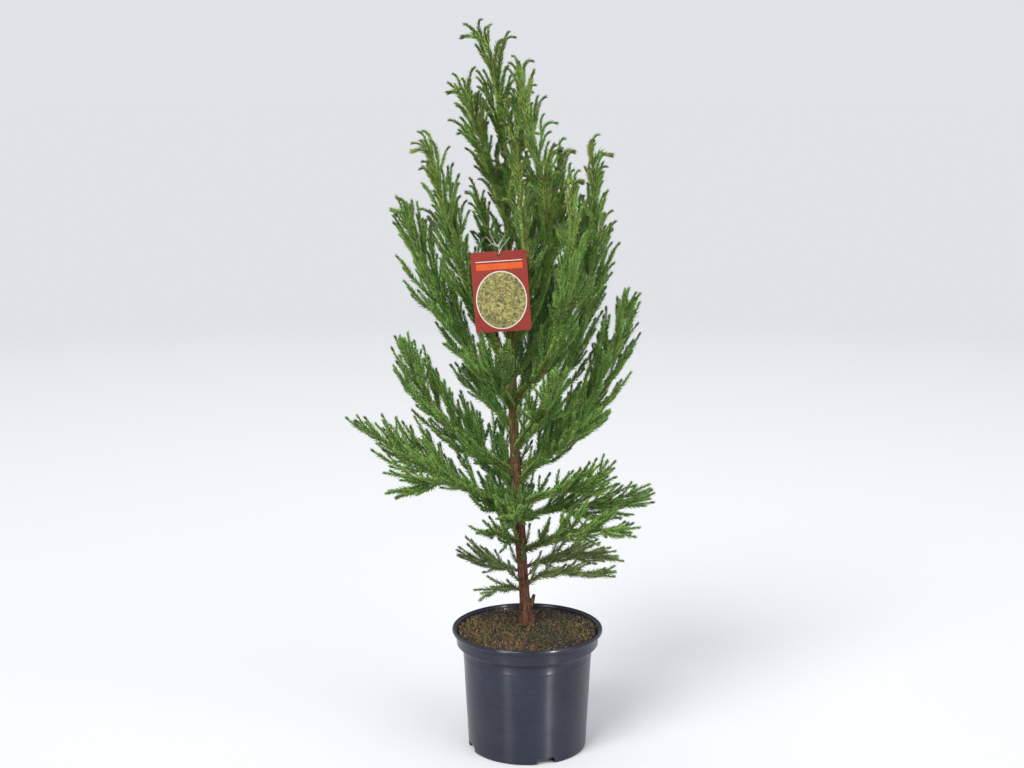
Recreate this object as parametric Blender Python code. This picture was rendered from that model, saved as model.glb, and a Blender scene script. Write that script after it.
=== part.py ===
"""A young Japanese cedar in a round nursery pot, with a hang tag tied to its stem. Metres, +Z up."""

import math
import random
from collections import namedtuple

import bmesh
import bpy
import numpy as np
from mathutils import Matrix, Vector

GAP = 0.0003  # between pieces that touch
GOLDEN_ANGLE = math.radians(137.508)
UP = Vector((0, 0, 1))

# Pot: radii and heights of its outside, then its wall
POT_SIDES = 32
POT_HEIGHT = 0.181
POT_LIP_RADIUS = 0.1107
POT_COLLAR_RADIUS = 0.1040
POT_COLLAR_FOOT = 0.1575
POT_BODY_TOP_RADIUS = 0.0946
POT_BODY_TOP = 0.150
POT_BASE_RADIUS = 0.0868
POT_WALL = 0.0028
POT_STEP_RISE = 0.0005  # the step inside, above and below the one outside
POT_STEP_DROP = 0.0010
POT_FLOOR = 0.0035
POT_MOUTH_RADIUS = 0.1066
LIP_FOOT_DROP = 0.0075  # each of these is measured down from the rim
LIP_EDGE_DROP = 0.0040
LIP_TOP_DROP = 0.0010
LIP_ROUND = 0.0012
MOUTH_DROP = 0.0004
MOUTH_FOOT_DROP = 0.0090
DRAIN_COUNT = 4
DRAIN_WIDTH = 0.027
DRAIN_HEIGHT = 0.009
DRAIN_DEPTH = 0.012
DRAIN_FIRST = math.radians(18)  # compass of the first one, from +X

# Soil: the level at the wall, and the mound that the trunk stands on
SOIL_EDGE_HEIGHT = 0.1715
SOIL_MOUND_HEIGHT = 0.1790
SOIL_MOUND_RADIUS = 0.018
SOIL_SLOPE = ((0.072, 0.0012, 0.35), (0.040, 0.0040, 0.80))  # radius, rise, share of the mound's shift

# Trunk: where it stands, how it leans and how it tapers
TRUNK_BACK = 0.020
TRUNK_FOOT = SOIL_MOUND_HEIGHT + GAP
TRUNK_TOP = 0.862
TRUNK_LEAN = 0.0365
TRUNK_LEAN_SPAN = 0.38
TRUNK_TIP_RADIUS = 0.0022
TRUNK_TAPER = 0.0052
TRUNK_TAPER_SPAN = 0.74
ROOT_FLARE = 0.0050
ROOT_FLARE_SPAN = 0.022
TRUNK_SIDES = 10
TRUNK_RINGS = 18
TRUNK_RING_CROWDING = 1.7  # above 1, rings crowd towards the root flare
STUB_COMPASS = math.radians(-12)
STUB_HEIGHT = 0.203
STUB_REACH = 0.0115
STUB_LENGTH = 0.017
STUB_RADIUS = 0.0045

# Hang tag and its tie
CARD_WIDTH = 0.0775
CARD_HEIGHT = 0.1125
CARD_THICKNESS = 0.0008
CARD_CORNER = 0.0035
CARD_TILT = math.radians(4)
CARD_CENTRE = Vector((-0.0378, -0.060, 0.6870))
HOLE_RADIUS = 0.0022
HOLE_DROP = 0.0055  # from the card's top edge to the hole's centre
TIE_RADIUS = 0.0006
TIE_HEIGHT = 0.7570  # where it goes round the trunk
TIE_CLEAR = 0.0035  # how far its loop stands off the tag's face
CARD_ROOM = 0.003  # kept free of foliage behind the tag, and beside it
CARD_SIDE_ROOM = 0.006

# Shoots: a slim three-sided core, each side of which rises to a needle spray in every whorl
WHORL_PITCH = 0.0360
PLAIN_PITCH = 0.0420  # ring spacing on the inner half of a stem, which only side shoots cover
PLAIN_SHARE = 0.50
WHORL_TWIST = math.radians(40)
SPRAY_REACH = 0.0150
SPRAY_REACH_AT_TIP = 0.0050
SPRAY_FORWARD = 0.0320
SPRAY_LEAST = 0.0022
CORE_RADIUS = 0.0016
TIP_CORE_RADIUS = 0.0008
SHOOT_SPACING = 0.0215
SHORTEST_SHOOT = 0.024
CELL_MARGIN = 0.0016
SHOOT_CLEARANCE = 0.0235
FIRST_SHOOT = 0.012  # from where a stem's foliage starts to its first side shoot's span
LAST_SHOOT = 0.028  # from the end of that span to the stem's tip
SPREAD_AT_FOOT = 46  # degrees between a side shoot and its stem, and how much less at the tip
SPREAD_DROP = 18
SPREAD_CHANCE = 5
LENGTH_AT_FOOT = 0.72  # a side shoot's share of the longest: how it swells, then shrinks to the tip
LENGTH_SWELL = 1.4
LENGTH_DROP = 0.55
LENGTH_CHANCE = 0.12
SHOOT_STEPS = 4
BEND_AT_FOOT = 0.20  # how far each step of a side shoot turns to the way that it settles in
BEND_PER_STEP = 0.17
FOLLOW = 0.95  # the share of its stem's own heading in that way
LIFT = 0.85  # and of straight up, on a rising stem and on a level one
LEVEL_LIFT = 0.25
RISING = 0.2
SAMPLES = 12  # places tested along a side shoot

# One row for each bough. foot: height where it leaves the trunk. across, back, height: its tip, to
# the right of the pot's axis, behind it and above the floor. leave, arrive: slope at each end, in
# degrees. sway: how far its leaving compass turns from the line to its tip, in degrees. bare: the
# share of its length with no foliage; with none, the foliage grows straight from the trunk.
# shoot: length of its longest side shoots.
Bough = namedtuple("Bough", "foot across back height leave arrive sway bare shoot")
BOUGHS = {
    "leader": Bough(0.862, -0.085, -0.010, 1.047, 74, 30, 0, 0, 0.075),
    "leader_left": Bough(0.772, -0.097, -0.030, 0.976, 70, 64, 0, 0, 0.088),
    "leader_right": Bough(0.790, -0.018, -0.004, 0.962, 55, 100, 0, 0, 0.072),
    "second_leader": Bough(0.597, -0.012, -0.030, 1.002, 50, 112, 62, 0.24, 0.082),
    "front_upper": Bough(0.640, -0.020, -0.075, 0.914, 37, 92, 30, 0, 0.060),
    "right_inner": Bough(0.628, 0.037, 0.030, 0.889, 58, 108, 0, 0, 0.070),
    "right_centre": Bough(0.517, 0.058, -0.070, 0.858, 31, 96, 0, 0.12, 0.080),
    "right_top": Bough(0.444, 0.088, 0.015, 0.893, 52, 96, 0, 0.14, 0.092),
    "back_right_upper": Bough(0.546, 0.084, 0.085, 0.800, 49, 84, 0, 0.14, 0.090),
    "back_left_upper": Bough(0.633, -0.078, 0.080, 0.824, 60, 64, 0, 0, 0.065),
    "back_upper": Bough(0.660, 0.018, 0.110, 0.865, 40, 92, 0, 0, 0.075),
    "left_inner": Bough(0.554, -0.140, -0.045, 0.902, 58, 76, 0, 0.12, 0.096),
    "left_outer": Bough(0.503, -0.178, 0.030, 0.805, 52, 76, 0, 0.13, 0.104),
    "left_mid": Bough(0.403, -0.172, -0.070, 0.620, 37, 76, 0, 0.12, 0.112),
    "back_left_mid": Bough(0.466, -0.099, 0.120, 0.570, 50, 50, 0, 0, 0.092),
    "left_low": Bough(0.347, -0.249, 0.000, 0.491, 31, 36, 0, 0.11, 0.112),
    "left_low_front": Bough(0.326, -0.181, -0.140, 0.413, 43, -20, 0, 0.10, 0.104),
    "right_mid": Bough(0.415, 0.150, 0.020, 0.668, 18, 66, 0, 0.14, 0.116),
    "right_mid_low": Bough(0.388, 0.109, -0.100, 0.526, 49, 36, 0, 0.12, 0.092),
    "right_fan_upper": Bough(0.352, 0.112, -0.060, 0.446, 46, 64, 0, 0.10, 0.082),
    "right_fan": Bough(0.332, 0.180, 0.040, 0.370, 37, 24, 0, 0.10, 0.092),
    "right_fan_front": Bough(0.288, 0.142, -0.125, 0.359, 31, 4, 0, 0.09, 0.084),
    "right_lowest": Bough(0.263, 0.134, 0.030, 0.275, 25, -16, 0, 0.10, 0.064),
    "right_bottom": Bough(0.232, 0.125, -0.060, 0.283, 55, 20, 0, 0, 0.050),
    "left_lowest": Bough(0.257, -0.102, 0.020, 0.284, 22, 12, 0, 0, 0.058),
    "left_bottom": Bough(0.228, -0.069, -0.040, 0.234, 31, -24, 0, 0, 0.042),
    "left_short": Bough(0.300, -0.072, -0.080, 0.346, 30, 10, 0, 0, 0.056),
    "back_mid": Bough(0.500, 0.031, 0.160, 0.676, 40, 76, 0, 0.13, 0.110),
    "back_low_right": Bough(0.390, 0.092, 0.180, 0.512, 34, 50, 0, 0.13, 0.112),
    "back_low_left": Bough(0.370, -0.091, 0.190, 0.451, 34, 40, 0, 0.13, 0.112),
    "back_low": Bough(0.290, -0.030, 0.200, 0.370, 28, 20, 0, 0.12, 0.100),
    "front_left_mid": Bough(0.500, -0.064, -0.120, 0.640, 40, 60, 0, 0.12, 0.090),
    "front_right_mid": Bough(0.440, 0.044, -0.125, 0.584, 44, 60, 0, 0.12, 0.086),
    "front_low": Bough(0.338, -0.022, -0.108, 0.378, 32, 18, 0, 0, 0.078),
}
HANDLE = 0.4  # how far a bough keeps to its end slopes, as a share of its chord
BOUGH_RADIUS = 0.0016  # at the trunk, and how much more for each metre of its length
BOUGH_RADIUS_SLOPE = 0.0052
BOUGH_TAPER = 0.72
COLLAR_SWELL = 0.25
COLLAR_SPAN = 0.008
BOUGH_STATIONS = 25
BOUGH_RINGS = 4
BOUGH_SIDES = 5

COLOURS = {
    "bark": ((0.150, 0.060, 0.035), 0.85),
    "needles": ((0.055, 0.150, 0.030), 0.60),
    "pot": ((0.028, 0.031, 0.042), 0.42),
    "soil": ((0.085, 0.055, 0.028), 0.95),
    "card": ((0.420, 0.065, 0.035), 0.45),
    "tie": ((0.550, 0.580, 0.480), 0.50),
}


def clear_scene():
    for item in list(bpy.data.objects):
        bpy.data.objects.remove(item, do_unlink=True)


def material(name):
    """The named finish, made the first time it is asked for."""
    found = bpy.data.materials.get(name)
    if found:
        return found
    colour, roughness = COLOURS[name]
    made = bpy.data.materials.new(name)
    made.use_nodes = True
    shader = made.node_tree.nodes["Principled BSDF"]
    shader.inputs["Base Color"].default_value = (*colour, 1)
    shader.inputs["Roughness"].default_value = roughness
    shader.inputs["Metallic"].default_value = 0.0
    made.diffuse_color = (*colour, 1)
    return made


def finish(name, shape, finish_name, smooth_angle=None):
    """Turns a bmesh into a named object with its material."""
    bmesh.ops.recalc_face_normals(shape, faces=shape.faces)
    mesh = bpy.data.meshes.new(name)
    shape.to_mesh(mesh)
    shape.free()
    mesh.materials.append(material(finish_name))
    if smooth_angle:
        mesh.shade_smooth()
        mesh.set_sharp_from_angle(angle=math.radians(smooth_angle))
    made = bpy.data.objects.new(name, mesh)
    bpy.context.scene.collection.objects.link(made)
    return made


def cut(target, cutter):
    """Takes the cutter's shape out of the target, and hides the cutter."""
    cutter.hide_render = True
    cutter.display_type = "WIRE"
    boolean = target.modifiers.new("cut " + cutter.name, "BOOLEAN")
    boolean.operation = "DIFFERENCE"
    boolean.solver = "EXACT"
    boolean.object = cutter


def trunk_centre(height):
    rise = height - TRUNK_FOOT
    lean = TRUNK_LEAN * (1 - math.exp(-rise / TRUNK_LEAN_SPAN))
    return Vector((-lean, TRUNK_BACK, height))


def trunk_radius(height):
    rise = height - TRUNK_FOOT
    taper = TRUNK_TAPER * max(0, 1 - rise / TRUNK_TAPER_SPAN) ** 0.8
    return TRUNK_TIP_RADIUS + taper + ROOT_FLARE * math.exp(-rise / ROOT_FLARE_SPAN)


def frames_along(points):
    """A frame at each point of a path, carried along it without twist."""
    frames = []
    tangent = (points[1] - points[0]).normalized()
    side = tangent.orthogonal().normalized()
    for i, point in enumerate(points):
        ahead = points[min(i + 1, len(points) - 1)] - points[max(i - 1, 0)]
        tangent = ahead.normalized()
        side = (side - tangent * side.dot(tangent)).normalized()
        frames.append((point, side, tangent.cross(side), tangent))
    return frames


def sweep(rings):
    """A closed shape through rings of corner points, each listed in the same order."""
    shape = bmesh.new()
    bmesh.ops.create_circle(shape, cap_ends=True, segments=len(rings[0]), radius=1)
    ring = list(shape.verts)
    loop = list(shape.edges)
    for i, corners in enumerate(rings):
        if i:
            grown = bmesh.ops.extrude_edge_only(shape, edges=loop)["geom"]
            fresh = [item for item in grown if isinstance(item, bmesh.types.BMVert)]
            ring = [min(fresh, key=lambda new: (new.co - old.co).length) for old in ring]
            loop = [item for item in grown if isinstance(item, bmesh.types.BMEdge)]
            loop = [edge for edge in loop if all(vert in fresh for vert in edge.verts)]
        for vert, corner in zip(ring, corners):
            vert.co = corner
    bmesh.ops.edgeloop_fill(shape, edges=loop)
    return shape, ring


def circle_corners(sides):
    """Corners of a circle of radius 1, in the order that create_circle gives them."""
    shape = bmesh.new()
    bmesh.ops.create_circle(shape, segments=sides, radius=1)
    corners = [vert.co.copy() for vert in shape.verts]
    shape.free()
    return corners


def tube(points, radii, sides, first_normal=None):
    """A closed tapering tube. first_normal turns its first ring to face along that direction."""
    rings = []
    for (centre, side, other, tangent), radius in zip(frames_along(points), radii):
        ring = []
        for corner in circle_corners(sides):
            offset = (side * corner.x + other * corner.y) * radius
            if not rings and first_normal is not None:
                offset -= tangent * (offset.dot(first_normal) / tangent.dot(first_normal))
            ring.append(centre + offset)
        rings.append(ring)
    return sweep(rings)[0]


def bezier(a, b, c, d, share):
    rest = 1 - share
    return a * rest**3 + b * (3 * rest * rest * share) + c * (3 * rest * share * share) + d * share**3


def bough_line(bough):
    """Points along a bough, from the trunk's centre to its tip."""
    start = trunk_centre(bough.foot)
    tip = Vector((bough.across, bough.back, bough.height))
    chord = tip - start
    compass = math.atan2(chord.y, chord.x)
    leave_compass = compass + math.radians(bough.sway)
    leave, arrive = math.radians(bough.leave), math.radians(bough.arrive)
    away = Vector((math.cos(leave_compass), math.sin(leave_compass), 0)) * math.cos(leave)
    home = Vector((math.cos(compass), math.sin(compass), 0)) * math.cos(arrive)
    handle = HANDLE * chord.length
    near = start + (away + UP * math.sin(leave)) * handle
    far = tip - (home + UP * math.sin(arrive)) * handle
    shares = [i / (BOUGH_STATIONS - 1) for i in range(BOUGH_STATIONS)]
    return [bezier(start, near, far, tip, share) for share in shares]


class Line:
    """A path read by distance from its start."""

    def __init__(self, points):
        self.points = points
        self.marks = [0.0]
        for before, after in zip(points, points[1:]):
            self.marks.append(self.marks[-1] + (after - before).length)
        self.length = self.marks[-1]

    def at(self, distance):
        distance = min(max(distance, 0), self.length)
        for i in range(len(self.points) - 1):
            if distance <= self.marks[i + 1]:
                share = (distance - self.marks[i]) / (self.marks[i + 1] - self.marks[i])
                return self.points[i].lerp(self.points[i + 1], share)
        return self.points[-1].copy()

    def heading(self, distance):
        step = self.length * 0.02
        return (self.at(distance + step) - self.at(distance - step)).normalized()

    def part(self, start, end, count):
        return [self.at(start + (end - start) * i / (count - 1)) for i in range(count)]


def distances(points, line):
    """From each point to the nearest place on a line, both as arrays."""
    start, run = line[:-1], np.diff(line, axis=0)
    reach = (run * run).sum(axis=1)
    away = points[:, None, :] - start[None]
    share = np.clip((away * run[None]).sum(axis=2) / reach[None], 0, 1)
    nearest = start[None] + share[..., None] * run[None]
    return np.linalg.norm(points[:, None, :] - nearest, axis=2).min(axis=1)


def as_array(points):
    return np.array([tuple(point) for point in points])


def bough_radius(line, distance):
    """Thick at the trunk, with a collar there, and slim at the tip."""
    share = distance / line.length
    collar = COLLAR_SWELL * math.exp(-distance / COLLAR_SPAN)
    return (BOUGH_RADIUS + BOUGH_RADIUS_SLOPE * line.length) * (1 - BOUGH_TAPER * share) * (1 + collar)


def turn(point):
    """A tag point turned by the tag's tilt, and put in its place."""
    return Matrix.Rotation(-CARD_TILT, 4, "Y") @ Vector(point) + CARD_CENTRE


def tie_line():
    """The tie's loop: through the tag's hole, up to the trunk, round behind it and back."""
    hole = turn((0, 0, CARD_HEIGHT / 2 - HOLE_DROP))
    lift = HOLE_RADIUS - GAP - TIE_RADIUS
    trunk = trunk_centre(TIE_HEIGHT)
    bend = trunk_radius(TIE_HEIGHT) + GAP + TIE_RADIUS
    behind = [
        trunk + Vector((math.cos(angle), math.sin(angle), 0.0)) * bend
        for angle in (math.radians(degrees) for degrees in range(-20, 201, 20))
    ]
    in_front = hole + Vector((0.0005, -TIE_CLEAR, lift + 0.001))
    through = hole + Vector((0, 0, lift))
    at_back = hole + Vector((-0.0005, TIE_CLEAR + 0.001, lift + 0.0005))
    halfway = trunk.lerp(hole, 0.5)
    up_right = halfway + Vector((bend, -0.002, 0.004))
    up_left = halfway + Vector((-bend, 0.001, 0.001))
    front_rise = hole + Vector((TIE_CLEAR, -0.003, 0.010))
    return [in_front, front_rise, up_right, *behind, up_left, at_back, through]


def ring_stations(line, plain_share):
    """Where a shoot's rings come, and how many of them are on its plain share."""
    plain = line.length * plain_share
    bare_rings = round(plain / PLAIN_PITCH)
    whorls = max(1, round((line.length - plain) / WHORL_PITCH))
    stations = line.part(0, plain, bare_rings + 1)[:-1] if bare_rings else []
    stations += line.part(plain if bare_rings else 0, line.length, whorls + 2)[:-1]
    return stations, bare_rings


def needled_shoot(points, core, space, name, plain_share=0, first_normal=None):
    """A three-sided shoot bent along its points. Past its plain share, each side of every whorl
    rises to a needle spray."""
    line = Line(points)
    stations, bare_rings = ring_stations(line, plain_share)
    frames = frames_along([*stations, points[-1]])[:-1]
    rings = []
    for i, (centre, side, other, tangent) in enumerate(frames):
        radius = core + (TIP_CORE_RADIUS - core) * i / len(frames)
        ring = []
        for corner in circle_corners(3):
            flat = Matrix.Rotation(WHORL_TWIST * i, 3, "Z") @ corner
            offset = (side * flat.x + other * flat.y) * radius
            if i == 0 and first_normal is not None:
                offset -= tangent * (offset.dot(first_normal) / tangent.dot(first_normal))
            ring.append(centre + offset)
        rings.append(ring)
    shape, last = sweep(rings)
    bmesh.ops.recalc_face_normals(shape, faces=shape.faces)
    first = len(circle_corners(3)) * bare_rings
    sides = [face for face in shape.faces if len(face.verts) == 4][first:]
    normals = [face.normal.copy() for face in sides]
    cap = [face for face in shape.faces if all(vert in last for vert in face.verts)]
    for vert in bmesh.ops.poke(shape, faces=cap)["verts"]:
        vert.co = points[-1]
    tips = []
    for face, normal in zip(sides, normals):
        root = face.calc_center_median()
        share = space.nearest_share(line, root)
        slim = min(1, (1 - share) * 2)
        reach = SPRAY_REACH_AT_TIP + (SPRAY_REACH - SPRAY_REACH_AT_TIP) * slim
        ahead = line.heading(share * line.length)
        tips.append(space.spray_tip(name, root, normal, ahead, reach))
    for vert, tip in zip(bmesh.ops.poke(shape, faces=sides)["verts"], tips):
        vert.co = tip
    bmesh.ops.triangulate(shape, faces=shape.faces)
    return shape


def shoot_path(start, heading, along, length, lift):
    """Five points of a side shoot, which leaves at its own heading and bends along its bough and up."""
    goal = (along * FOLLOW + UP * lift).normalized()
    points = [start.copy()]
    for i in range(SHOOT_STEPS):
        step = heading.lerp(goal, BEND_AT_FOOT + BEND_PER_STEP * i).normalized()
        points.append(points[-1] + step * (length / SHOOT_STEPS))
    return points


class Space:
    """Everything that a shoot keeps clear of."""

    def __init__(self, lines):
        self.lines = {name: as_array(line.points) for name, line in lines.items()}
        self.tie = as_array(tie_line())
        self.limbs = []
        for name, line in lines.items():
            if BOUGHS[name].bare:
                end = line.length * BOUGHS[name].bare
                self.limbs.append((as_array(line.part(0, end, 7)), bough_radius(line, end / 2)))

    def nearest_share(self, line, point):
        """How far along a line its nearest place to a point lies, from 0 to 1."""
        marks = [i / (2 * SAMPLES) for i in range(2 * SAMPLES + 1)]
        return min(marks, key=lambda mark: (line.at(mark * line.length) - point).length)

    def inside(self, name, fine, room):
        """For each point, whether it lies in its own bough's space with this much room round it."""
        points = as_array(fine)
        own = distances(points, self.lines[name])
        good = np.ones(len(points), bool)
        for other, line in self.lines.items():
            if other != name:
                good &= distances(points, line) > own + CELL_MARGIN + 2 * room
        radii = np.array([trunk_radius(min(max(point.z, TRUNK_FOOT), TRUNK_TOP)) for point in fine])
        good &= distances(points, TRUNK_LINE) > radii + room + CELL_MARGIN
        good &= distances(points, self.tie) > room + TIE_RADIUS + CELL_MARGIN
        for limb, radius in self.limbs:
            good &= distances(points, limb) > radius + room + CELL_MARGIN
        for i, point in enumerate(fine):
            local = Matrix.Rotation(CARD_TILT, 4, "Y") @ (point - CARD_CENTRE)
            beside = abs(local.x) > CARD_WIDTH / 2 + CARD_SIDE_ROOM
            above = abs(local.z) > CARD_HEIGHT / 2 + CARD_SIDE_ROOM
            if not beside and not above and local.y < room + CARD_ROOM:
                good[i] = False
        return good

    def free_share(self, name, path):
        """How much of a path lies in its own bough's space, from 0 to 1."""
        line = Line(path)
        good = self.inside(name, line.part(0, line.length, SAMPLES + 1), CORE_RADIUS)
        bad = np.flatnonzero(~good[1:])
        return 1.0 if len(bad) == 0 else bad[0] / SAMPLES

    def spray_tip(self, name, root, out, ahead, reach):
        """Where a spray's tip comes, drawn in until it lies in its own bough's space."""
        while reach > SPRAY_LEAST:
            forward = SPRAY_FORWARD * reach / SPRAY_REACH
            tip = root + out * reach + ahead * forward
            way = [root.lerp(tip, share) for share in (0.5, 0.8, 1)]
            if self.inside(name, way, 0.0004).all():
                return tip
            reach *= 0.75
        return root + out * 0.0004


def foliage(name, bough, line, space, seed):
    """The pieces of one mass: its stem and its side shoots, as loose bmeshes."""
    chance = random.Random(seed)
    start = line.length * bough.bare + GAP if bough.bare else foot_distance(bough, line)
    covered = line.length - start
    if bough.bare:
        marks = bough_marks(bough, line)
        facing = (line.at(marks[-1]) - line.at(marks[-2])).normalized()
    elif bough.foot < TRUNK_TOP:
        facing = line.at(start) - trunk_centre(line.at(start).z)
        facing = Vector((facing.x, facing.y, 0)).normalized()
    else:
        facing = (trunk_centre(TRUNK_TOP) - trunk_centre(TRUNK_TOP - WHORL_PITCH)).normalized()
    stem = line.part(start, line.length, 15)
    core_line = Line([*ring_stations(Line(stem), PLAIN_SHARE)[0], stem[-1]])
    pieces = [needled_shoot(stem, bough_radius(line, start), space, name, PLAIN_SHARE, facing)]
    paths = []
    span = covered - FIRST_SHOOT - LAST_SHOOT
    count = max(3, round(span / SHOOT_SPACING))
    for i in range(count):
        share = (i + 0.5) / count
        distance = start + FIRST_SHOOT + span * share
        along = line.heading(distance)
        out = along.orthogonal().normalized()
        out.rotate(Matrix.Rotation(GOLDEN_ANGLE * i + seed, 3, along))
        spread = SPREAD_AT_FOOT - SPREAD_DROP * share + chance.uniform(-SPREAD_CHANCE, SPREAD_CHANCE)
        spread = math.radians(spread)
        heading = along * math.cos(spread) + out * math.sin(spread)
        swell = min(1, LENGTH_AT_FOOT + LENGTH_SWELL * share) * (1 - LENGTH_DROP * share**1.5)
        length = bough.shoot * swell * chance.uniform(1 - LENGTH_CHANCE, 1 + LENGTH_CHANCE)
        lift = LIFT if along.z > RISING else LEVEL_LIFT
        root = core_line.at(distance - start)
        path = shoot_path(root, heading, along, length, lift)
        length *= space.free_share(name, path)
        if length < SHORTEST_SHOOT:
            continue
        path = shoot_path(root, heading, along, length, lift)
        outer = as_array(path[2:])
        if any(distances(outer, other).min() < SHOOT_CLEARANCE for other in paths):
            continue
        paths.append(as_array(path))
        pieces.append(needled_shoot(path, CORE_RADIUS, space, name))
    return pieces


def foot_distance(bough, line):
    """How far along its line a limb starts, so that it lies clear of the trunk."""
    if bough.foot >= TRUNK_TOP:
        return GAP
    reach = trunk_radius(bough.foot) + GAP
    distance = 0.0
    while distances(as_array([line.at(distance)]), TRUNK_LINE)[0] < reach:
        distance += 0.0002
    return distance


def bough_marks(bough, line):
    """How far along its line each ring of a bare limb comes."""
    start = foot_distance(bough, line)
    run = line.length * bough.bare - start
    return [start + run * i / (BOUGH_RINGS - 1) for i in range(BOUGH_RINGS)]


def fuse(name, pieces, finish_name):
    """Joins loose bmeshes into one body by one Boolean on a collection."""
    base = finish(name, pieces[0], finish_name)
    helpers = bpy.data.collections.new(name + " shoots")
    for i, piece in enumerate(pieces[1:]):
        side = finish(f"{name} shoot {i}", piece, finish_name)
        bpy.context.scene.collection.objects.unlink(side)
        helpers.objects.link(side)
    bpy.context.scene.collection.children.link(helpers)
    union = base.modifiers.new("join shoots", "BOOLEAN")
    union.operation = "UNION"
    union.operand_type = "COLLECTION"
    union.collection = helpers
    union.solver = "MANIFOLD"
    graph = bpy.context.evaluated_depsgraph_get()
    joined = bpy.data.meshes.new_from_object(base.evaluated_get(graph))
    base.modifiers.remove(union)
    base.data = joined
    for side in list(helpers.objects):
        bpy.data.objects.remove(side, do_unlink=True)
    bpy.data.collections.remove(helpers)
    return base


def make_pot():
    """The turned pot, with a stepped collar, a rolled lip and drain notches at its foot."""
    lip = POT_HEIGHT
    outside = [
        (0, 0),
        (POT_BASE_RADIUS, 0),
        (POT_BODY_TOP_RADIUS, POT_BODY_TOP),
        (POT_COLLAR_RADIUS, POT_COLLAR_FOOT),
        (POT_COLLAR_RADIUS, lip - LIP_FOOT_DROP),
        (POT_LIP_RADIUS, lip - LIP_EDGE_DROP),
        (POT_LIP_RADIUS, lip - LIP_TOP_DROP),
        (POT_LIP_RADIUS - LIP_ROUND, lip),
        (POT_MOUTH_RADIUS, lip - MOUTH_DROP),
    ]
    inside = [
        (POT_COLLAR_RADIUS - POT_WALL, lip - MOUTH_FOOT_DROP),
        (POT_COLLAR_RADIUS - POT_WALL, POT_COLLAR_FOOT + POT_STEP_RISE),
        (POT_BODY_TOP_RADIUS - POT_WALL, POT_BODY_TOP - POT_STEP_DROP),
        (POT_BASE_RADIUS - POT_WALL, POT_FLOOR),
        (0, POT_FLOOR),
    ]
    return turned("pot", [*outside, *inside], "pot")


def turned(name, profile, finish_name):
    """A solid of revolution about the pot's axis."""
    shape = bmesh.new()
    corners = [shape.verts.new((radius, 0, height)) for radius, height in profile]
    for first, second in zip(corners, corners[1:]):
        shape.edges.new((first, second))
    bmesh.ops.spin(
        shape,
        geom=shape.verts[:] + shape.edges[:],
        cent=(0, 0, 0),
        axis=(0, 0, 1),
        angle=math.tau,
        steps=POT_SIDES,
        use_merge=True,
    )
    bmesh.ops.remove_doubles(shape, verts=shape.verts, dist=1e-6)
    return finish(name, shape, finish_name, smooth_angle=35)


def make_drains(pot):
    """Notches through the corner between the pot's wall and its floor."""
    for k in range(DRAIN_COUNT):
        compass = DRAIN_FIRST + k * math.tau / DRAIN_COUNT
        shape = bmesh.new()
        bmesh.ops.create_cube(shape, size=1)
        size = Vector((2 * DRAIN_DEPTH, DRAIN_WIDTH, 2 * DRAIN_HEIGHT))
        bmesh.ops.scale(shape, vec=size, verts=shape.verts)
        place = Matrix.Rotation(compass, 4, "Z") @ Matrix.Translation((POT_BASE_RADIUS, 0, 0))
        bmesh.ops.transform(shape, matrix=place, verts=shape.verts)
        cut(pot, finish(f"drain cutter {k}", shape, "pot"))


def make_soil():
    """Fills the pot, and rises to the mound that carries the trunk."""
    wall = POT_WALL + GAP
    top = trunk_centre(TRUNK_FOOT)
    levels = [
        (POT_BASE_RADIUS - wall, POT_FLOOR + GAP, 0),
        (POT_BODY_TOP_RADIUS - wall, POT_BODY_TOP - POT_STEP_DROP, 0),
        (POT_COLLAR_RADIUS - wall, POT_COLLAR_FOOT + POT_STEP_RISE, 0),
        (POT_COLLAR_RADIUS - wall, SOIL_EDGE_HEIGHT, 0),
        *((radius, SOIL_EDGE_HEIGHT + rise, drift) for radius, rise, drift in SOIL_SLOPE),
        (SOIL_MOUND_RADIUS, SOIL_MOUND_HEIGHT, 1),
    ]
    rings = []
    for radius, height, drift in levels:
        middle = Vector((top.x * drift, top.y * drift, height))
        rings.append([middle + corner * radius for corner in circle_corners(POT_SIDES)])
    return finish("soil", sweep(rings)[0], "soil", smooth_angle=35)


def make_trunk():
    """The trunk, from its flat cut on the soil to its leafy top, with one torn stub near its foot."""
    heights = [
        TRUNK_FOOT + (TRUNK_TOP - TRUNK_FOOT) * (k / (TRUNK_RINGS - 1)) ** TRUNK_RING_CROWDING
        for k in range(TRUNK_RINGS)
    ]
    centres = [trunk_centre(height) for height in heights]
    shape = tube(centres, [trunk_radius(height) for height in heights], TRUNK_SIDES, UP)
    trunk = finish("trunk", shape, "bark", smooth_angle=60)
    out = Vector((math.cos(STUB_COMPASS), math.sin(STUB_COMPASS), 0))
    root = trunk_centre(STUB_HEIGHT)
    elbow = root + out * STUB_REACH * 0.6 + UP * STUB_LENGTH * 0.25
    points = [root, elbow, root + out * STUB_REACH + UP * STUB_LENGTH]
    stub = tube(points, [STUB_RADIUS, STUB_RADIUS * 0.9, STUB_RADIUS * 0.45], BOUGH_SIDES)
    return join_one(trunk, finish("stub", stub, "bark"))


def join_one(base, other):
    """Fuses one more shape into an object."""
    union = base.modifiers.new("join " + other.name, "BOOLEAN")
    union.operation = "UNION"
    union.solver = "EXACT"
    union.object = other
    graph = bpy.context.evaluated_depsgraph_get()
    joined = bpy.data.meshes.new_from_object(base.evaluated_get(graph))
    base.modifiers.remove(union)
    base.data = joined
    bpy.data.objects.remove(other, do_unlink=True)
    return base


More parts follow.
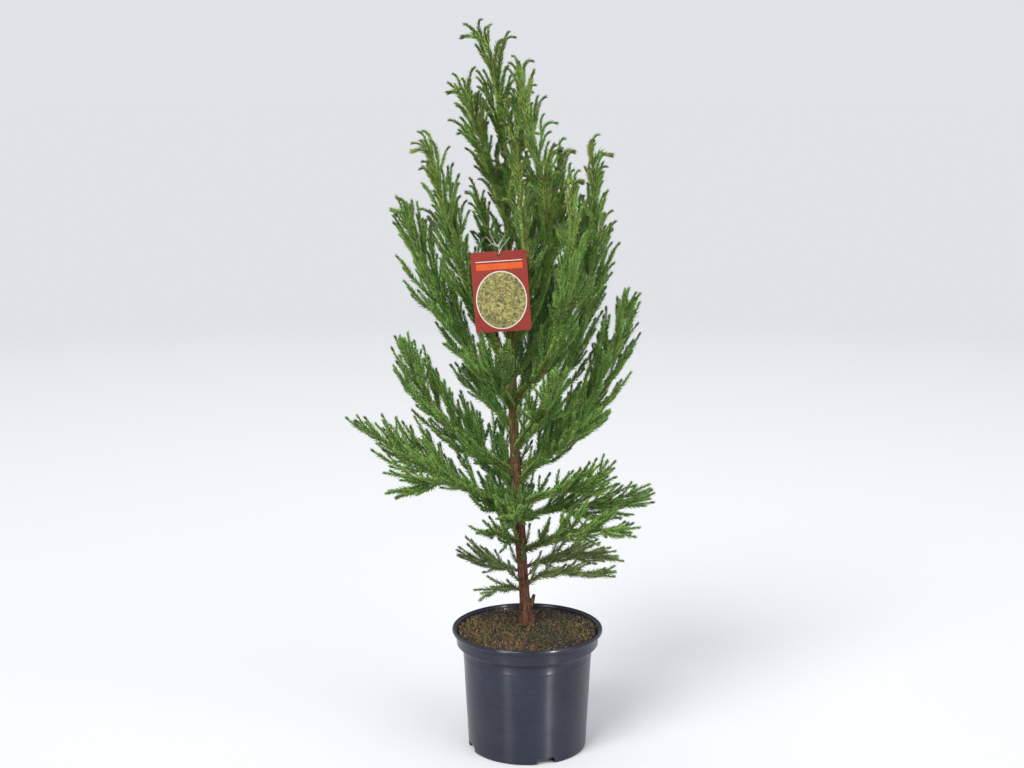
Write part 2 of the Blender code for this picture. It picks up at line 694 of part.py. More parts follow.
def make_bough(name, bough, line):
    """The bare limb, from the trunk's side to where its foliage begins."""
    marks = bough_marks(bough, line)
    points = [line.at(mark) for mark in marks]
    outward = points[0] - trunk_centre(points[0].z)
    outward.z = 0
    radii = [bough_radius(line, mark) for mark in marks]
    shape = tube(points, radii, BOUGH_SIDES, outward.normalized())
    return finish("bough_" + name, shape, "bark", smooth_angle=60)


def make_card():
    """The hang tag: a thin card with round corners and a hole near its top edge."""
    shape = bmesh.new()
    bmesh.ops.create_cube(shape, size=1)
    bmesh.ops.scale(shape, vec=(CARD_WIDTH, CARD_THICKNESS, CARD_HEIGHT), verts=shape.verts)
    corners = [edge for edge in shape.edges if edge.calc_length() < 2 * CARD_THICKNESS]
    bmesh.ops.bevel(
        shape, geom=corners, offset=CARD_CORNER, segments=3, profile=0.5, affect="EDGES", material=-1
    )
    for vert in shape.verts:
        vert.co = turn(vert.co)
    card = finish("label_card", shape, "card")
    hole = bmesh.new()
    depth = 10 * CARD_THICKNESS
    size = {"radius1": HOLE_RADIUS, "radius2": HOLE_RADIUS, "depth": depth}
    bmesh.ops.create_cone(hole, cap_ends=True, segments=16, **size)
    quarter = Matrix.Rotation(math.pi / 2, 3, "X")
    for vert in hole.verts:
        vert.co = turn(quarter @ vert.co + UP * (CARD_HEIGHT / 2 - HOLE_DROP))
    cut(card, finish("hole cutter", hole, "card"))
    return card


def make_tie():
    """The thin loop that carries the tag."""
    curve = bpy.data.curves.new("label_tie", "CURVE")
    curve.dimensions = "3D"
    curve.bevel_depth = TIE_RADIUS
    curve.bevel_resolution = 1
    spline = curve.splines.new("POLY")
    points = tie_line()
    spline.points.add(len(points) - 1)
    for slot, point in zip(spline.points, points):
        slot.co = (*point, 1)
    spline.use_cyclic_u = True
    curve.materials.append(material("tie"))
    made = bpy.data.objects.new("label_tie", curve)
    bpy.context.scene.collection.objects.link(made)
    return made


TRUNK_LINE = as_array(
    [trunk_centre(TRUNK_FOOT + (TRUNK_TOP - TRUNK_FOOT) * k / 69) for k in range(70)]
)


def main():
    clear_scene()
    pot = make_pot()
    make_drains(pot)
    make_soil()
    make_trunk()
    make_card()
    make_tie()
    lines = {name: Line(bough_line(bough)) for name, bough in BOUGHS.items()}
    space = Space(lines)
    for seed, (name, bough) in enumerate(BOUGHS.items()):
        line = lines[name]
        if bough.bare:
            make_bough(name, bough, line)
        fuse("foliage_" + name, foliage(name, bough, line, space, seed), "needles")


main()
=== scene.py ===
import math
import random
from collections import namedtuple
import bmesh
import bpy
import numpy as np
from mathutils import Euler, Matrix, Vector, noise


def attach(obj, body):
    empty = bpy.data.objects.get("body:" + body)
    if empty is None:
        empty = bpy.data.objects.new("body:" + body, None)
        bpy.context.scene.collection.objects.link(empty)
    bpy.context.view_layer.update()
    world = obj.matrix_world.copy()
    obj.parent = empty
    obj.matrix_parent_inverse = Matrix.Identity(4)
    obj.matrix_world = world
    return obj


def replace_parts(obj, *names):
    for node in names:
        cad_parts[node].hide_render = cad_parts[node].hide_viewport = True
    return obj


# A young Japanese cedar in its nursery pot. Metres, +Z up, the viewer on the -Y side.

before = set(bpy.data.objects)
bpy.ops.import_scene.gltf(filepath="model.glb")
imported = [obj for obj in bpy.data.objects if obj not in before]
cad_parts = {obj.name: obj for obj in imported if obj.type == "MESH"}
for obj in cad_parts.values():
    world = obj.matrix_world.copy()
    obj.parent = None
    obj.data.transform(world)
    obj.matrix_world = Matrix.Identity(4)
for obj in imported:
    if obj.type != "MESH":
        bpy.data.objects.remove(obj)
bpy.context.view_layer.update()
print("frame loaded:", len(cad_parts), "nodes")

goldenAngle = math.radians(137.508)
up = np.array([0.0, 0.0, 1.0])
hairGap = 0.0003  # between pieces that touch


# Shader maths

class Wire:  # a socket that can be used in sums
    def __init__(self, tree, socket):
        self.tree = tree
        self.socket = socket

    def maths(self, operation, *values):
        node = self.tree.nodes.new("ShaderNodeMath")
        node.operation = operation
        for slot, value in zip(node.inputs, values):
            if isinstance(value, Wire):
                self.tree.links.new(value.socket, slot)
            else:
                slot.default_value = value
        return Wire(self.tree, node.outputs[0])

    def __add__(self, other):
        return self.maths("ADD", self, other)

    def __mul__(self, other):
        return self.maths("MULTIPLY", self, other)

    def __pow__(self, other):
        return self.maths("POWER", self, other)

    def __gt__(self, other):
        return self.maths("GREATER_THAN", self, other)

    def __lt__(self, other):
        return self.maths("LESS_THAN", self, other)

    __radd__ = __add__
    __rmul__ = __mul__


class Finish:  # a material, its nodes, and the place on the piece that its patterns read
    def __init__(self, name, colour, roughness, **constants):
        self.material = bpy.data.materials.new(name)
        self.material.use_nodes = True
        self.material.diffuse_color = (*colour, 1)
        self.tree = self.material.node_tree
        self.shader = self.tree.nodes["Principled BSDF"]
        self.shader.inputs["Base Color"].default_value = (*colour, 1)
        self.shader.inputs["Roughness"].default_value = roughness
        for socket, value in constants.items():
            self.shader.inputs[socket.replace("_", " ")].default_value = value
        self.place = self.add("ShaderNodeTexCoord", out="Object")

    def add(self, kind, settings=None, values=None, out=0):
        node = self.tree.nodes.new(kind)
        for name, value in (settings or {}).items():
            if name == "stops":
                while len(node.color_ramp.elements) < len(value):
                    node.color_ramp.elements.new(0.5)
                for stop, (spot, tint) in zip(node.color_ramp.elements, value):
                    stop.position = spot
                    stop.color = (*tint, 1)
            else:
                setattr(node, name, value)
        for name, value in (values or {}).items():
            if isinstance(value, Wire):
                self.tree.links.new(value.socket, node.inputs[name])
            else:
                node.inputs[name].default_value = value
        return Wire(self.tree, node.outputs[out])

    def noise(self, scale, detail=3.0, roughness=0.55, place=None, distortion=0.0):
        values = {"Vector": place or self.place, "Scale": scale, "Detail": detail}
        values.update({"Roughness": roughness, "Distortion": distortion})
        return self.add("ShaderNodeTexNoise", values=values)

    def stretched(self, x, y, z):
        return self.add("ShaderNodeMapping", values={"Vector": self.place, "Scale": (x, y, z)})

    def ramp(self, value, *stops):
        return self.add("ShaderNodeValToRGB", {"stops": stops}, {"Fac": value})

    def range(self, value, low, high, toLow=0.0, toHigh=1.0):
        values = {"Value": value, "From Min": low, "From Max": high, "To Min": toLow, "To Max": toHigh}
        return self.add("ShaderNodeMapRange", values=values)

    def along(self, axis):  # one coordinate of the place
        return self.add("ShaderNodeSeparateXYZ", values={"Vector": self.place}, out=axis)

    def tint(self, factor, first, second):  # sockets 6 and 7 of the mix are its two colours
        values = {0: factor, 6: first, 7: second}
        for socket in (6, 7):
            if not isinstance(values[socket], Wire):
                values[socket] = (*values[socket], 1)
        return self.add("ShaderNodeMix", {"data_type": "RGBA"}, values, out=2)

    def feed(self, socket, wire):
        self.tree.links.new(wire.socket, self.shader.inputs[socket])
        return self

    def mottled(self, pattern, low, high, first, second):  # from one colour to the other
        return self.feed("Base Color", self.tint(self.range(pattern, low, high), first, second))

    def relief(self, height, depth):
        return self.feed("Normal", self.add("ShaderNodeBump", values={"Height": height, "Distance": depth}))


def shaded(colour, share):
    return tuple(channel * share for channel in colour)


# Making pieces

def placed(name, data):  # a new object in the scene
    item = bpy.data.objects.new(name, data)
    bpy.context.scene.collection.objects.link(item)
    return item


def meshOf(name, shape):
    mesh = bpy.data.meshes.new(name)
    shape.to_mesh(mesh)
    shape.free()
    return mesh


def finishedMesh(item):  # an object's mesh as its modifiers leave it
    return bpy.data.meshes.new_from_object(item.evaluated_get(bpy.context.evaluated_depsgraph_get()))


def putIn(name, mesh, finish, smoothAngle=None):
    mesh.materials.clear()
    mesh.materials.append(finish.material)
    if smoothAngle:
        mesh.shade_smooth()
        mesh.set_sharp_from_angle(angle=math.radians(smoothAngle))
    piece = placed(name, mesh)
    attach(piece, "root")
    return piece


def fromShape(name, shape, finish, smoothAngle=None):
    bmesh.ops.recalc_face_normals(shape, faces=shape.faces)
    return putIn(name, meshOf(name, shape), finish, smoothAngle)


def cutFrom(piece, name, shape):
    cutter = placed(name, meshOf(name, shape))
    cut = piece.modifiers.new(name, "BOOLEAN")
    cut.operation = "DIFFERENCE"
    cut.solver = "EXACT"
    cut.object = cutter
    made = finishedMesh(piece)
    piece.modifiers.remove(cut)
    piece.data = made
    bpy.data.objects.remove(cutter, do_unlink=True)


def templateOf(shape):  # a small closed shape, as arrays that can be repeated
    bmesh.ops.triangulate(shape, faces=shape.faces)
    bmesh.ops.recalc_face_normals(shape, faces=shape.faces)
    shape.verts.ensure_lookup_table()
    places = np.array([tuple(vert.co) for vert in shape.verts])
    corners = np.array([[vert.index for vert in face.verts] for face in shape.faces])
    shape.free()
    return places, corners


def repeated(name, places, corners):  # places: one row of points for each copy of the template
    copies, count = places.shape[:2]
    every = (corners[None] + (np.arange(copies) * count)[:, None, None]).ravel()
    faceCount = len(every) // 3
    mesh = bpy.data.meshes.new(name)
    mesh.vertices.add(copies * count)
    mesh.vertices.foreach_set("co", places.astype(np.float32).ravel())
    mesh.loops.add(len(every))
    mesh.loops.foreach_set("vertex_index", every.astype(np.int32))
    mesh.polygons.add(faceCount)
    mesh.polygons.foreach_set("loop_start", np.arange(faceCount, dtype=np.int32) * 3)
    mesh.polygons.foreach_set("loop_total", np.full(faceCount, 3, np.int32))
    mesh.update(calc_edges=True)
    mesh.validate()
    return mesh


def unit(vectors):
    return vectors / np.maximum(np.linalg.norm(vectors, axis=-1, keepdims=True), 1e-12)


def turned(first, second, angle):  # directions turned from the first towards the second
    return first * np.cos(angle)[..., None] + second * np.sin(angle)[..., None]


def squareTo(heading, guide):  # two directions square to each heading and to each other
    side = unit(np.cross(heading, np.array(guide)))
    return side, np.cross(heading, side)


def between(pair, share):
    return pair[0] + (pair[1] - pair[0]) * share


# The trunk's line and the boughs that leave it, with the same sizes as the solids

trunk = {
    "back": 0.020, "foot": 0.1793, "top": 0.862, "lean": 0.0365, "leanSpan": 0.38,
    "tipRadius": 0.0022, "taper": 0.0052, "taperSpan": 0.74, "flare": 0.0050, "flareSpan": 0.022,
    "sides": 48, "rings": 420, "furrowDepth": 0.0016, "slimmer": 0.985, "stouter": 0.18,
    "stoutFrom": 0.25, "stoutTo": 0.70,
}


def trunkCentre(height):
    rise = height - trunk["foot"]
    lean = trunk["lean"] * (1 - math.exp(-rise / trunk["leanSpan"]))
    return np.array([-lean, trunk["back"], height])


def trunkRadius(height):
    rise = height - trunk["foot"]
    taper = trunk["taper"] * max(0, 1 - rise / trunk["taperSpan"]) ** 0.8
    return trunk["tipRadius"] + taper + trunk["flare"] * math.exp(-rise / trunk["flareSpan"])


def trunkRadii(heights):
    return np.array([trunkRadius(height) for height in heights])


# foot: the height at which it leaves the trunk. across, back, height: its tip. leave, arrive: its slopes
# at both ends, in degrees. sway: how far its start is turned, in degrees. bare: the share of it that the
# solids leave bare. shoot: the length of its longest side shoots.
Bough = namedtuple("Bough", "foot across back height leave arrive sway bare shoot")
boughs = {
    "leader": Bough(0.862, -0.085, -0.010, 1.047, 74, 30, 0, 0, 0.075),
    "leader_left": Bough(0.772, -0.097, -0.030, 0.976, 70, 64, 0, 0, 0.088),
    "leader_right": Bough(0.790, -0.018, -0.004, 0.962, 55, 100, 0, 0, 0.072),
    "second_leader": Bough(0.597, -0.012, -0.030, 1.002, 50, 112, 62, 0.24, 0.082),
    "front_upper": Bough(0.640, -0.020, -0.075, 0.914, 37, 92, 30, 0, 0.060),
    "right_inner": Bough(0.628, 0.037, 0.030, 0.889, 58, 108, 0, 0, 0.070),
    "right_centre": Bough(0.517, 0.058, -0.070, 0.858, 31, 96, 0, 0.12, 0.080),
    "right_top": Bough(0.444, 0.088, 0.015, 0.893, 52, 96, 0, 0.14, 0.092),
    "back_right_upper": Bough(0.546, 0.084, 0.085, 0.800, 49, 84, 0, 0.14, 0.090),
    "back_left_upper": Bough(0.633, -0.078, 0.080, 0.824, 60, 64, 0, 0, 0.065),
    "back_upper": Bough(0.660, 0.018, 0.110, 0.865, 40, 92, 0, 0, 0.075),
    "left_inner": Bough(0.554, -0.140, -0.045, 0.902, 58, 76, 0, 0.12, 0.096),
    "left_outer": Bough(0.503, -0.178, 0.030, 0.805, 52, 76, 0, 0.13, 0.104),
    "left_mid": Bough(0.403, -0.172, -0.070, 0.620, 37, 76, 0, 0.12, 0.112),
    "back_left_mid": Bough(0.466, -0.099, 0.120, 0.570, 50, 50, 0, 0, 0.092),
    "left_low": Bough(0.347, -0.249, 0.000, 0.491, 31, 36, 0, 0.11, 0.112),
    "left_low_front": Bough(0.326, -0.181, -0.140, 0.413, 43, -20, 0, 0.10, 0.104),
    "right_mid": Bough(0.415, 0.150, 0.020, 0.668, 18, 66, 0, 0.14, 0.116),
    "right_mid_low": Bough(0.388, 0.109, -0.100, 0.526, 49, 36, 0, 0.12, 0.092),
    "right_fan_upper": Bough(0.352, 0.112, -0.060, 0.446, 46, 64, 0, 0.10, 0.082),
    "right_fan": Bough(0.332, 0.180, 0.040, 0.370, 37, 24, 0, 0.10, 0.092),
    "right_fan_front": Bough(0.288, 0.142, -0.125, 0.359, 31, 4, 0, 0.09, 0.084),
    "right_lowest": Bough(0.263, 0.134, 0.030, 0.275, 25, -16, 0, 0.10, 0.064),
    "right_bottom": Bough(0.232, 0.125, -0.060, 0.283, 55, 20, 0, 0, 0.050),
    "left_lowest": Bough(0.257, -0.102, 0.020, 0.284, 22, 12, 0, 0, 0.058),
    "left_bottom": Bough(0.228, -0.069, -0.040, 0.234, 31, -24, 0, 0, 0.042),
    "left_short": Bough(0.300, -0.072, -0.080, 0.346, 30, 10, 0, 0, 0.056),
    "back_mid": Bough(0.500, 0.031, 0.160, 0.676, 40, 76, 0, 0.13, 0.110),
    "back_low_right": Bough(0.390, 0.092, 0.180, 0.512, 34, 50, 0, 0.13, 0.112),
    "back_low_left": Bough(0.370, -0.091, 0.190, 0.451, 34, 40, 0, 0.13, 0.112),
    "back_low": Bough(0.290, -0.030, 0.200, 0.370, 28, 20, 0, 0.12, 0.100),
    "front_left_mid": Bough(0.500, -0.064, -0.120, 0.640, 40, 60, 0, 0.12, 0.090),
    "front_right_mid": Bough(0.440, 0.044, -0.125, 0.584, 44, 60, 0, 0.12, 0.086),
    "front_low": Bough(0.338, -0.022, -0.108, 0.378, 32, 18, 0, 0, 0.078),
}
boughShape = {
    "handle": 0.4, "stations": 25, "radius": 0.0016, "radiusSlope": 0.0052, "taper": 0.72,
    "collarSwell": 0.25, "collarSpan": 0.008, "sides": 12, "ringPitch": 0.0025,
    "sunk": 0.0012, "past": 0.004, "furrowDepth": 0.0007,
}


class Path:  # a line read by distance from its start
    def __init__(self, points):
        self.points = np.asarray(points, float)
        steps = np.linalg.norm(np.diff(self.points, axis=0), axis=1)
        self.marks = np.concatenate([[0.0], np.cumsum(steps)])
        self.length = float(self.marks[-1])

    def at(self, distance):
        return np.stack([np.interp(distance, self.marks, self.points[:, k]) for k in range(3)], axis=-1)

    def heading(self, distance):
        step = self.length * 0.02
        return unit(self.at(distance + step) - self.at(distance - step))

    def part(self, start, end, count):
        return self.at(np.linspace(start, end, count))


def boughPath(bough):
    start = trunkCentre(bough.foot)
    tip = np.array([bough.across, bough.back, bough.height])
    chord = tip - start
    compass = math.atan2(chord[1], chord[0])
    leaving = compass + math.radians(bough.sway)
    leave, arrive = math.radians(bough.leave), math.radians(bough.arrive)
    away = np.array([math.cos(leaving), math.sin(leaving), 0]) * math.cos(leave)
    home = np.array([math.cos(compass), math.sin(compass), 0]) * math.cos(arrive)
    handle = boughShape["handle"] * np.linalg.norm(chord)
    near = start + (away + up * math.sin(leave)) * handle
    far = tip - (home + up * math.sin(arrive)) * handle
    share = np.linspace(0, 1, boughShape["stations"])[:, None]
    rest = 1 - share
    return Path(start * rest**3 + near * 3 * rest**2 * share + far * 3 * rest * share**2 + tip * share**3)


def boughRadius(path, distance):
    share = distance / path.length
    collar = boughShape["collarSwell"] * np.exp(-distance / boughShape["collarSpan"])
    base = boughShape["radius"] + boughShape["radiusSlope"] * path.length
    return base * (1 - boughShape["taper"] * share) * (1 + collar)


def distances(points, line):
    start, run = line[:-1], np.diff(line, axis=0)
    away = points[:, None, :] - start[None]
    share = np.clip((away * run[None]).sum(axis=2) / (run * run).sum(axis=1)[None], 0, 1)
    nearest = start[None] + share[..., None] * run[None]
    return np.linalg.norm(points[:, None, :] - nearest, axis=2).min(axis=1)


trunkLine = np.array([trunkCentre(height) for height in np.linspace(trunk["foot"], trunk["top"], 70)])
trunkAxis = Path(trunkLine)
paths = {name: boughPath(bough) for name, bough in boughs.items()}


def footDistance(name):
    if boughs[name].foot >= trunk["top"]:
        return hairGap
    reach = trunkRadius(boughs[name].foot) + hairGap
    distance = 0.0
    while distances(paths[name].at(distance)[None], trunkLine)[0] < reach:
        distance += 0.0002
    return distance


# The hang tag: where it hangs, and the loop that carries it

tag = {
    "width": 0.0775, "height": 0.1125, "thickness": 0.0008, "corner": 0.0035,
    "tilt": math.radians(4), "centre": Vector((-0.0378, -0.060, 0.6870)),
    "holeRadius": 0.0022, "holeDrop": 0.0055,
    "tieRadius": 0.0006, "tieHeight": 0.7570, "tieClear": 0.0035,
}


def onTag(x, y, z):
    return Matrix.Rotation(-tag["tilt"], 4, "Y") @ Vector((x, y, z)) + tag["centre"]


def tieLine():
    hole = onTag(0, 0, tag["height"] / 2 - tag["holeDrop"])
    lift = tag["holeRadius"] - hairGap - tag["tieRadius"]
    middle = Vector(trunkCentre(tag["tieHeight"]))
    bend = trunkRadius(tag["tieHeight"]) + hairGap + tag["tieRadius"]
    angles = [math.radians(degrees) for degrees in range(-20, 201, 20)]
    behind = [middle + Vector((math.cos(angle), math.sin(angle), 0)) * bend for angle in angles]
    inFront = hole + Vector((0.0005, -tag["tieClear"], lift + 0.001))
    frontRise = hole + Vector((tag["tieClear"], -0.003, 0.010))
    through = hole + Vector((0, 0, lift))
    atBack = hole + Vector((-0.0005, tag["tieClear"] + 0.001, lift + 0.0005))
    halfway = middle.lerp(hole, 0.5)
    upRight = halfway + Vector((bend, -0.002, 0.004))
    upLeft = halfway + Vector((-bend, 0.001, 0.001))
    return [inFront, frontRise, upRight, *behind, upLeft, atBack, through]


# How the crown grows: the solids' own side shoots, then finer ones on the same stems

growth = {
    "spacing": 0.0215, "shortest": 0.024, "cellMargin": 0.0016, "clearance": 0.0235,
    "firstShoot": 0.012, "lastShoot": 0.028, "spreadFoot": 46, "spreadDrop": 18, "spreadChance": 5,
    "lengthFoot": 0.72, "lengthSwell": 1.4, "lengthDrop": 0.55, "lengthChance": 0.12,
    "bendFoot": 0.20, "bendStep": 0.17, "follow": 0.95, "lift": 0.85, "levelLift": 0.25, "rising": 0.2,
    "bends": 4, "coreRadius": 0.0016, "samples": 12, "tagRoom": 0.003, "tagSideRoom": 0.006,
}

tieRun = np.array([tuple(point) for point in tieLine()])
bareLimbs = [
    (paths[name].part(0, paths[name].length * bough.bare, 7),
     boughRadius(paths[name], paths[name].length * bough.bare / 2))
    for name, bough in boughs.items() if bough.bare
]


def clearOfTag(points, room):
    turn = np.array(Matrix.Rotation(tag["tilt"], 3, "Y"))
    local = (points - np.array(tag["centre"])) @ turn.T
    beside = np.abs(local[:, 0]) > tag["width"] / 2 + growth["tagSideRoom"]
    above = np.abs(local[:, 2]) > tag["height"] / 2 + growth["tagSideRoom"]
    return beside | above | (local[:, 1] >= room + growth["tagRoom"])


def clearOfWood(points, room):
    heights = np.clip(points[:, 2], trunk["foot"], trunk["top"])
    good = distances(points, trunkLine) > trunkRadii(heights) + room
    good &= distances(points, tieRun) > room + tag["tieRadius"]
    for limb, radius in bareLimbs:
        good &= distances(points, limb) > radius + room
    return good & clearOfTag(points, room)


def inCell(name, points, room, margin):
    own = distances(points, paths[name].points)
    good = np.ones(len(points), bool)
    for other, path in paths.items():
        if other != name:
            good &= distances(points, path.points) > own + margin + 2 * room
    return good


def shootPaths(starts, headings, alongs, lengths, lifts):
    goals = unit(alongs * growth["follow"] + up * lifts[:, None])
    points = [starts]
    for i in range(growth["bends"]):
        bend = growth["bendFoot"] + growth["bendStep"] * i
        step = unit(headings * (1 - bend) + goals * bend)
        points.append(points[-1] + step * (lengths / growth["bends"])[:, None])
    return np.stack(points, axis=1)


def roundAbout(along, angle):  # a direction square to a heading, turned about it
    out = Vector(along).orthogonal().normalized()
    out.rotate(Matrix.Rotation(angle, 3, Vector(along)))
    return np.array(out)


def solidShoots(name, seed):  # the side shoots that the solids have
    bough, path = boughs[name], paths[name]
    chance = random.Random(seed)
    start = path.length * bough.bare + hairGap if bough.bare else footDistance(name)
    span = path.length - start - growth["firstShoot"] - growth["lastShoot"]
    count = max(3, round(span / growth["spacing"]))
    made = []
    for i in range(count):
        share = (i + 0.5) / count
        distance = start + growth["firstShoot"] + span * share
        along = path.heading(distance)
        out = roundAbout(along, goldenAngle * i + seed)
        spread = growth["spreadFoot"] - growth["spreadDrop"] * share
        spread = math.radians(spread + chance.uniform(-growth["spreadChance"], growth["spreadChance"]))
        heading = along * math.cos(spread) + out * math.sin(spread)
        swell = min(1, growth["lengthFoot"] + growth["lengthSwell"] * share)
        swell *= 1 - growth["lengthDrop"] * share**1.5
        length = bough.shoot * swell * chance.uniform(1 - growth["lengthChance"], 1 + growth["lengthChance"])
        lift = growth["lift"] if along[2] > growth["rising"] else growth["levelLift"]
        values = [np.array([item]) for item in (path.at(distance), heading, along)]
        whole = Path(shootPaths(*values, np.array([length]), np.array([lift]))[0])
        tested = whole.part(0, whole.length, growth["samples"] + 1)
        free = inCell(name, tested, growth["coreRadius"], growth["cellMargin"])
        free &= clearOfWood(tested, growth["coreRadius"] + growth["cellMargin"])
        bad = np.flatnonzero(~free[1:])
        length *= 1.0 if len(bad) == 0 else bad[0] / growth["samples"]
        if length < growth["shortest"]:
            continue
        points = shootPaths(*values, np.array([length]), np.array([lift]))[0]
        if any(distances(points[2:], other).min() < growth["clearance"] for other in made):
            continue
        made.append(points)
    return start, made


# Finer growth of the same kind: more side shoots between those, side shoots on all of them, and short
# ones on the trunk. Pairs hold the value low in the crown and the value high up. Those of the limbs, the
# trunk and the stem below the crown run from the first shoot of a row to its last, and those of chance
# are the least and the most.

fine = {
    "lowTip": 0.45, "highTip": 0.80, "jitter": 0.25, "spreadChance": 6, "lengthChance": (0.75, 1.20),
    "pitch": (0.0105, 0.0130), "reach": (0.98, 1.12), "footSpread": (42, 31), "tipSpread": (27, 17),
    "firstExtra": 0.004, "lastExtra": 0.016, "middle": 0.35, "radius": 0.0011,
    "sidePitch": (0.0100, 0.0140), "sideFoot": (0.034, 0.042), "sideTip": (0.018, 0.024),
    "sideSpread": (38, 26), "sideRadius": 0.0008, "flat": (0.55, 1.0), "sideStart": 0.008, "freeTip": 0.030,
    "limbStart": 0.006, "limbPitch": 0.0095, "limbLength": (0.022, 0.034), "limbSpread": (50, 40),
    "limbRadius": 0.0009, "trunkPitch": 0.0075, "trunkLow": 0.40, "trunkSpread": (44, 28),
    "trunkLength": (0.050, 0.080), "trunkSide": (0.026, 0.014), "trunkSideSpread": (36, 28),
    "trunkSideStart": 0.010, "trunkFreeTip": 0.024,
    "stemLow": 0.225, "stemPitch": 0.0120, "stemLength": (0.034, 0.058), "stemSpread": (52, 44),
    "room": 0.0026, "margin": -0.014, "proud": 0.008, "above": 0.012, "leastBelow": 0.012,
    "steep": 0.45, "liftShare": 0.8, "shortest": 0.010, "longEnough": 0.042,
}
hook = {  # from one tip height to the other, the tips hook over more and more
    "from": 0.62, "full": 0.88, "reach": 0.036, "shortest": 0.012, "stations": 26, "fold": 1.4,
    "least": 0.08, "gain": 0.92, "chance": (0.35, 1.0), "fineShare": 0.6, "boughShare": 0.9,
    "fromTrunk": 0.12, "leftward": 0.004, "droop": 0.30,
}
bareStem = {"from": 0.30, "to": 0.60, "front": 0.008, "halfWidth": 0.026}


def fineShoots(name, parent, first, last, pitch, lengths, spreads, seed, flat=1.0):
    if last - first < pitch * 0.5:
        return []
    chance = np.random.default_rng(seed)
    count = max(1, round((last - first) / pitch))
    share = (np.arange(count) + 0.5) / count
    spots = first + (last - first) * share + chance.uniform(-fine["jitter"], fine["jitter"], count) * pitch
    alongs = parent.heading(spots)
    phase = chance.uniform(0, math.tau)
    outs = np.array([roundAbout(along, goldenAngle * k + phase) for k, along in enumerate(alongs)])
    outs = unit(outs * np.array([1, 1, flat]))
    spread = between(spreads, share) + chance.uniform(-fine["spreadChance"], fine["spreadChance"], count)
    headings = unit(turned(alongs, outs, np.radians(spread)))
    length = between(lengths, share) * chance.uniform(*fine["lengthChance"], count)
    length = np.minimum(length, parent.length - spots + fine["proud"])
    starts = parent.at(spots)
    if parent is trunkAxis:
        starts = starts + outs * trunkRadii(starts[:, 2])[:, None]
    below = np.maximum(parent.points[:, 2].max() - starts[:, 2] + fine["above"], fine["leastBelow"])
    length = np.where(alongs[:, 2] > fine["steep"], np.minimum(length, below), length)
    lift = np.where(alongs[:, 2] > growth["rising"], growth["lift"], growth["levelLift"]) * fine["liftShare"]
    points = shootPaths(starts, headings, alongs, length, lift)
    tested = points[:, 1:].reshape(-1, 3)
    free = clearOfWood(tested, fine["room"])
    if name in boughs:
        free &= inCell(name, tested, 0.0, fine["margin"])
    free = free.reshape(count, growth["bends"])
    firstBad = np.where(free.all(axis=1), growth["bends"], np.argmin(free, axis=1))
    length = length * firstBad / growth["bends"]
    points = shootPaths(starts, headings, alongs, length, lift)
    return [item for item, size in zip(points, length) if size >= fine["shortest"]]


def rounded(points):  # corners cut twice, so that needles follow a smooth line
    for _ in range(2):
        early = points[:-1] * 0.75 + points[1:] * 0.25
        late = points[:-1] * 0.25 + points[1:] * 0.75
        inner = np.stack([early, late], axis=1).reshape(-1, 3)
        points = np.concatenate([points[:1], inner, points[-1:]])
    return points


def hooked(points, axis, strength):  # the young tips of the upper crown hook over, away from their stem
    path = Path(points)
    spots = np.linspace(0, path.length, hook["stations"])
    line = path.at(spots)
    tip = line[-1]
    level = axis.points[np.argmin(np.abs(axis.points[:, 2] - tip[2]))]
    outward = (tip - level) + hook["fromTrunk"] * (tip - trunkCentre(min(tip[2], trunk["top"])))
    outward[2] = 0
    outward = unit(outward + np.array([-hook["leftward"], 0.0, 0.0]))
    reach = min(hook["reach"], path.length * 0.5)
    fold = np.clip(1 - (path.length - spots) / reach, 0, 1)
    steps = unit(np.diff(line, axis=0))
    goal = unit(outward - up * hook["droop"])
    bend = (fold[1:] ** hook["fold"] * strength)[:, None]
    steps = unit(steps * (1 - bend) + goal * bend)
    return np.concatenate([line[:1], line[0] + np.cumsum(steps * np.diff(spots)[:, None], axis=0)])


def grown(group, seed):  # a group of shoots (points, radius, order, axis), smoothed and hooked
    chance = random.Random(700 + seed)
    made = []
    for points, radius, order, axis in group:
        points = rounded(points)
        rise = min(1, max(0, (points[-1][2] - hook["from"]) / (hook["full"] - hook["from"])))
        strength = (hook["least"] + hook["gain"] * rise) * chance.uniform(*hook["chance"])
        strength *= hook["fineShare"] if order == 3 else 1
        if order == 0:
            strength = hook["boughShare"] * rise
        if Path(points).length > hook["shortest"]:
            points = hooked(points, axis, strength)
        made.append({"path": Path(points), "radius": radius, "order": order, "axis": axis, "rise": rise})
    return made


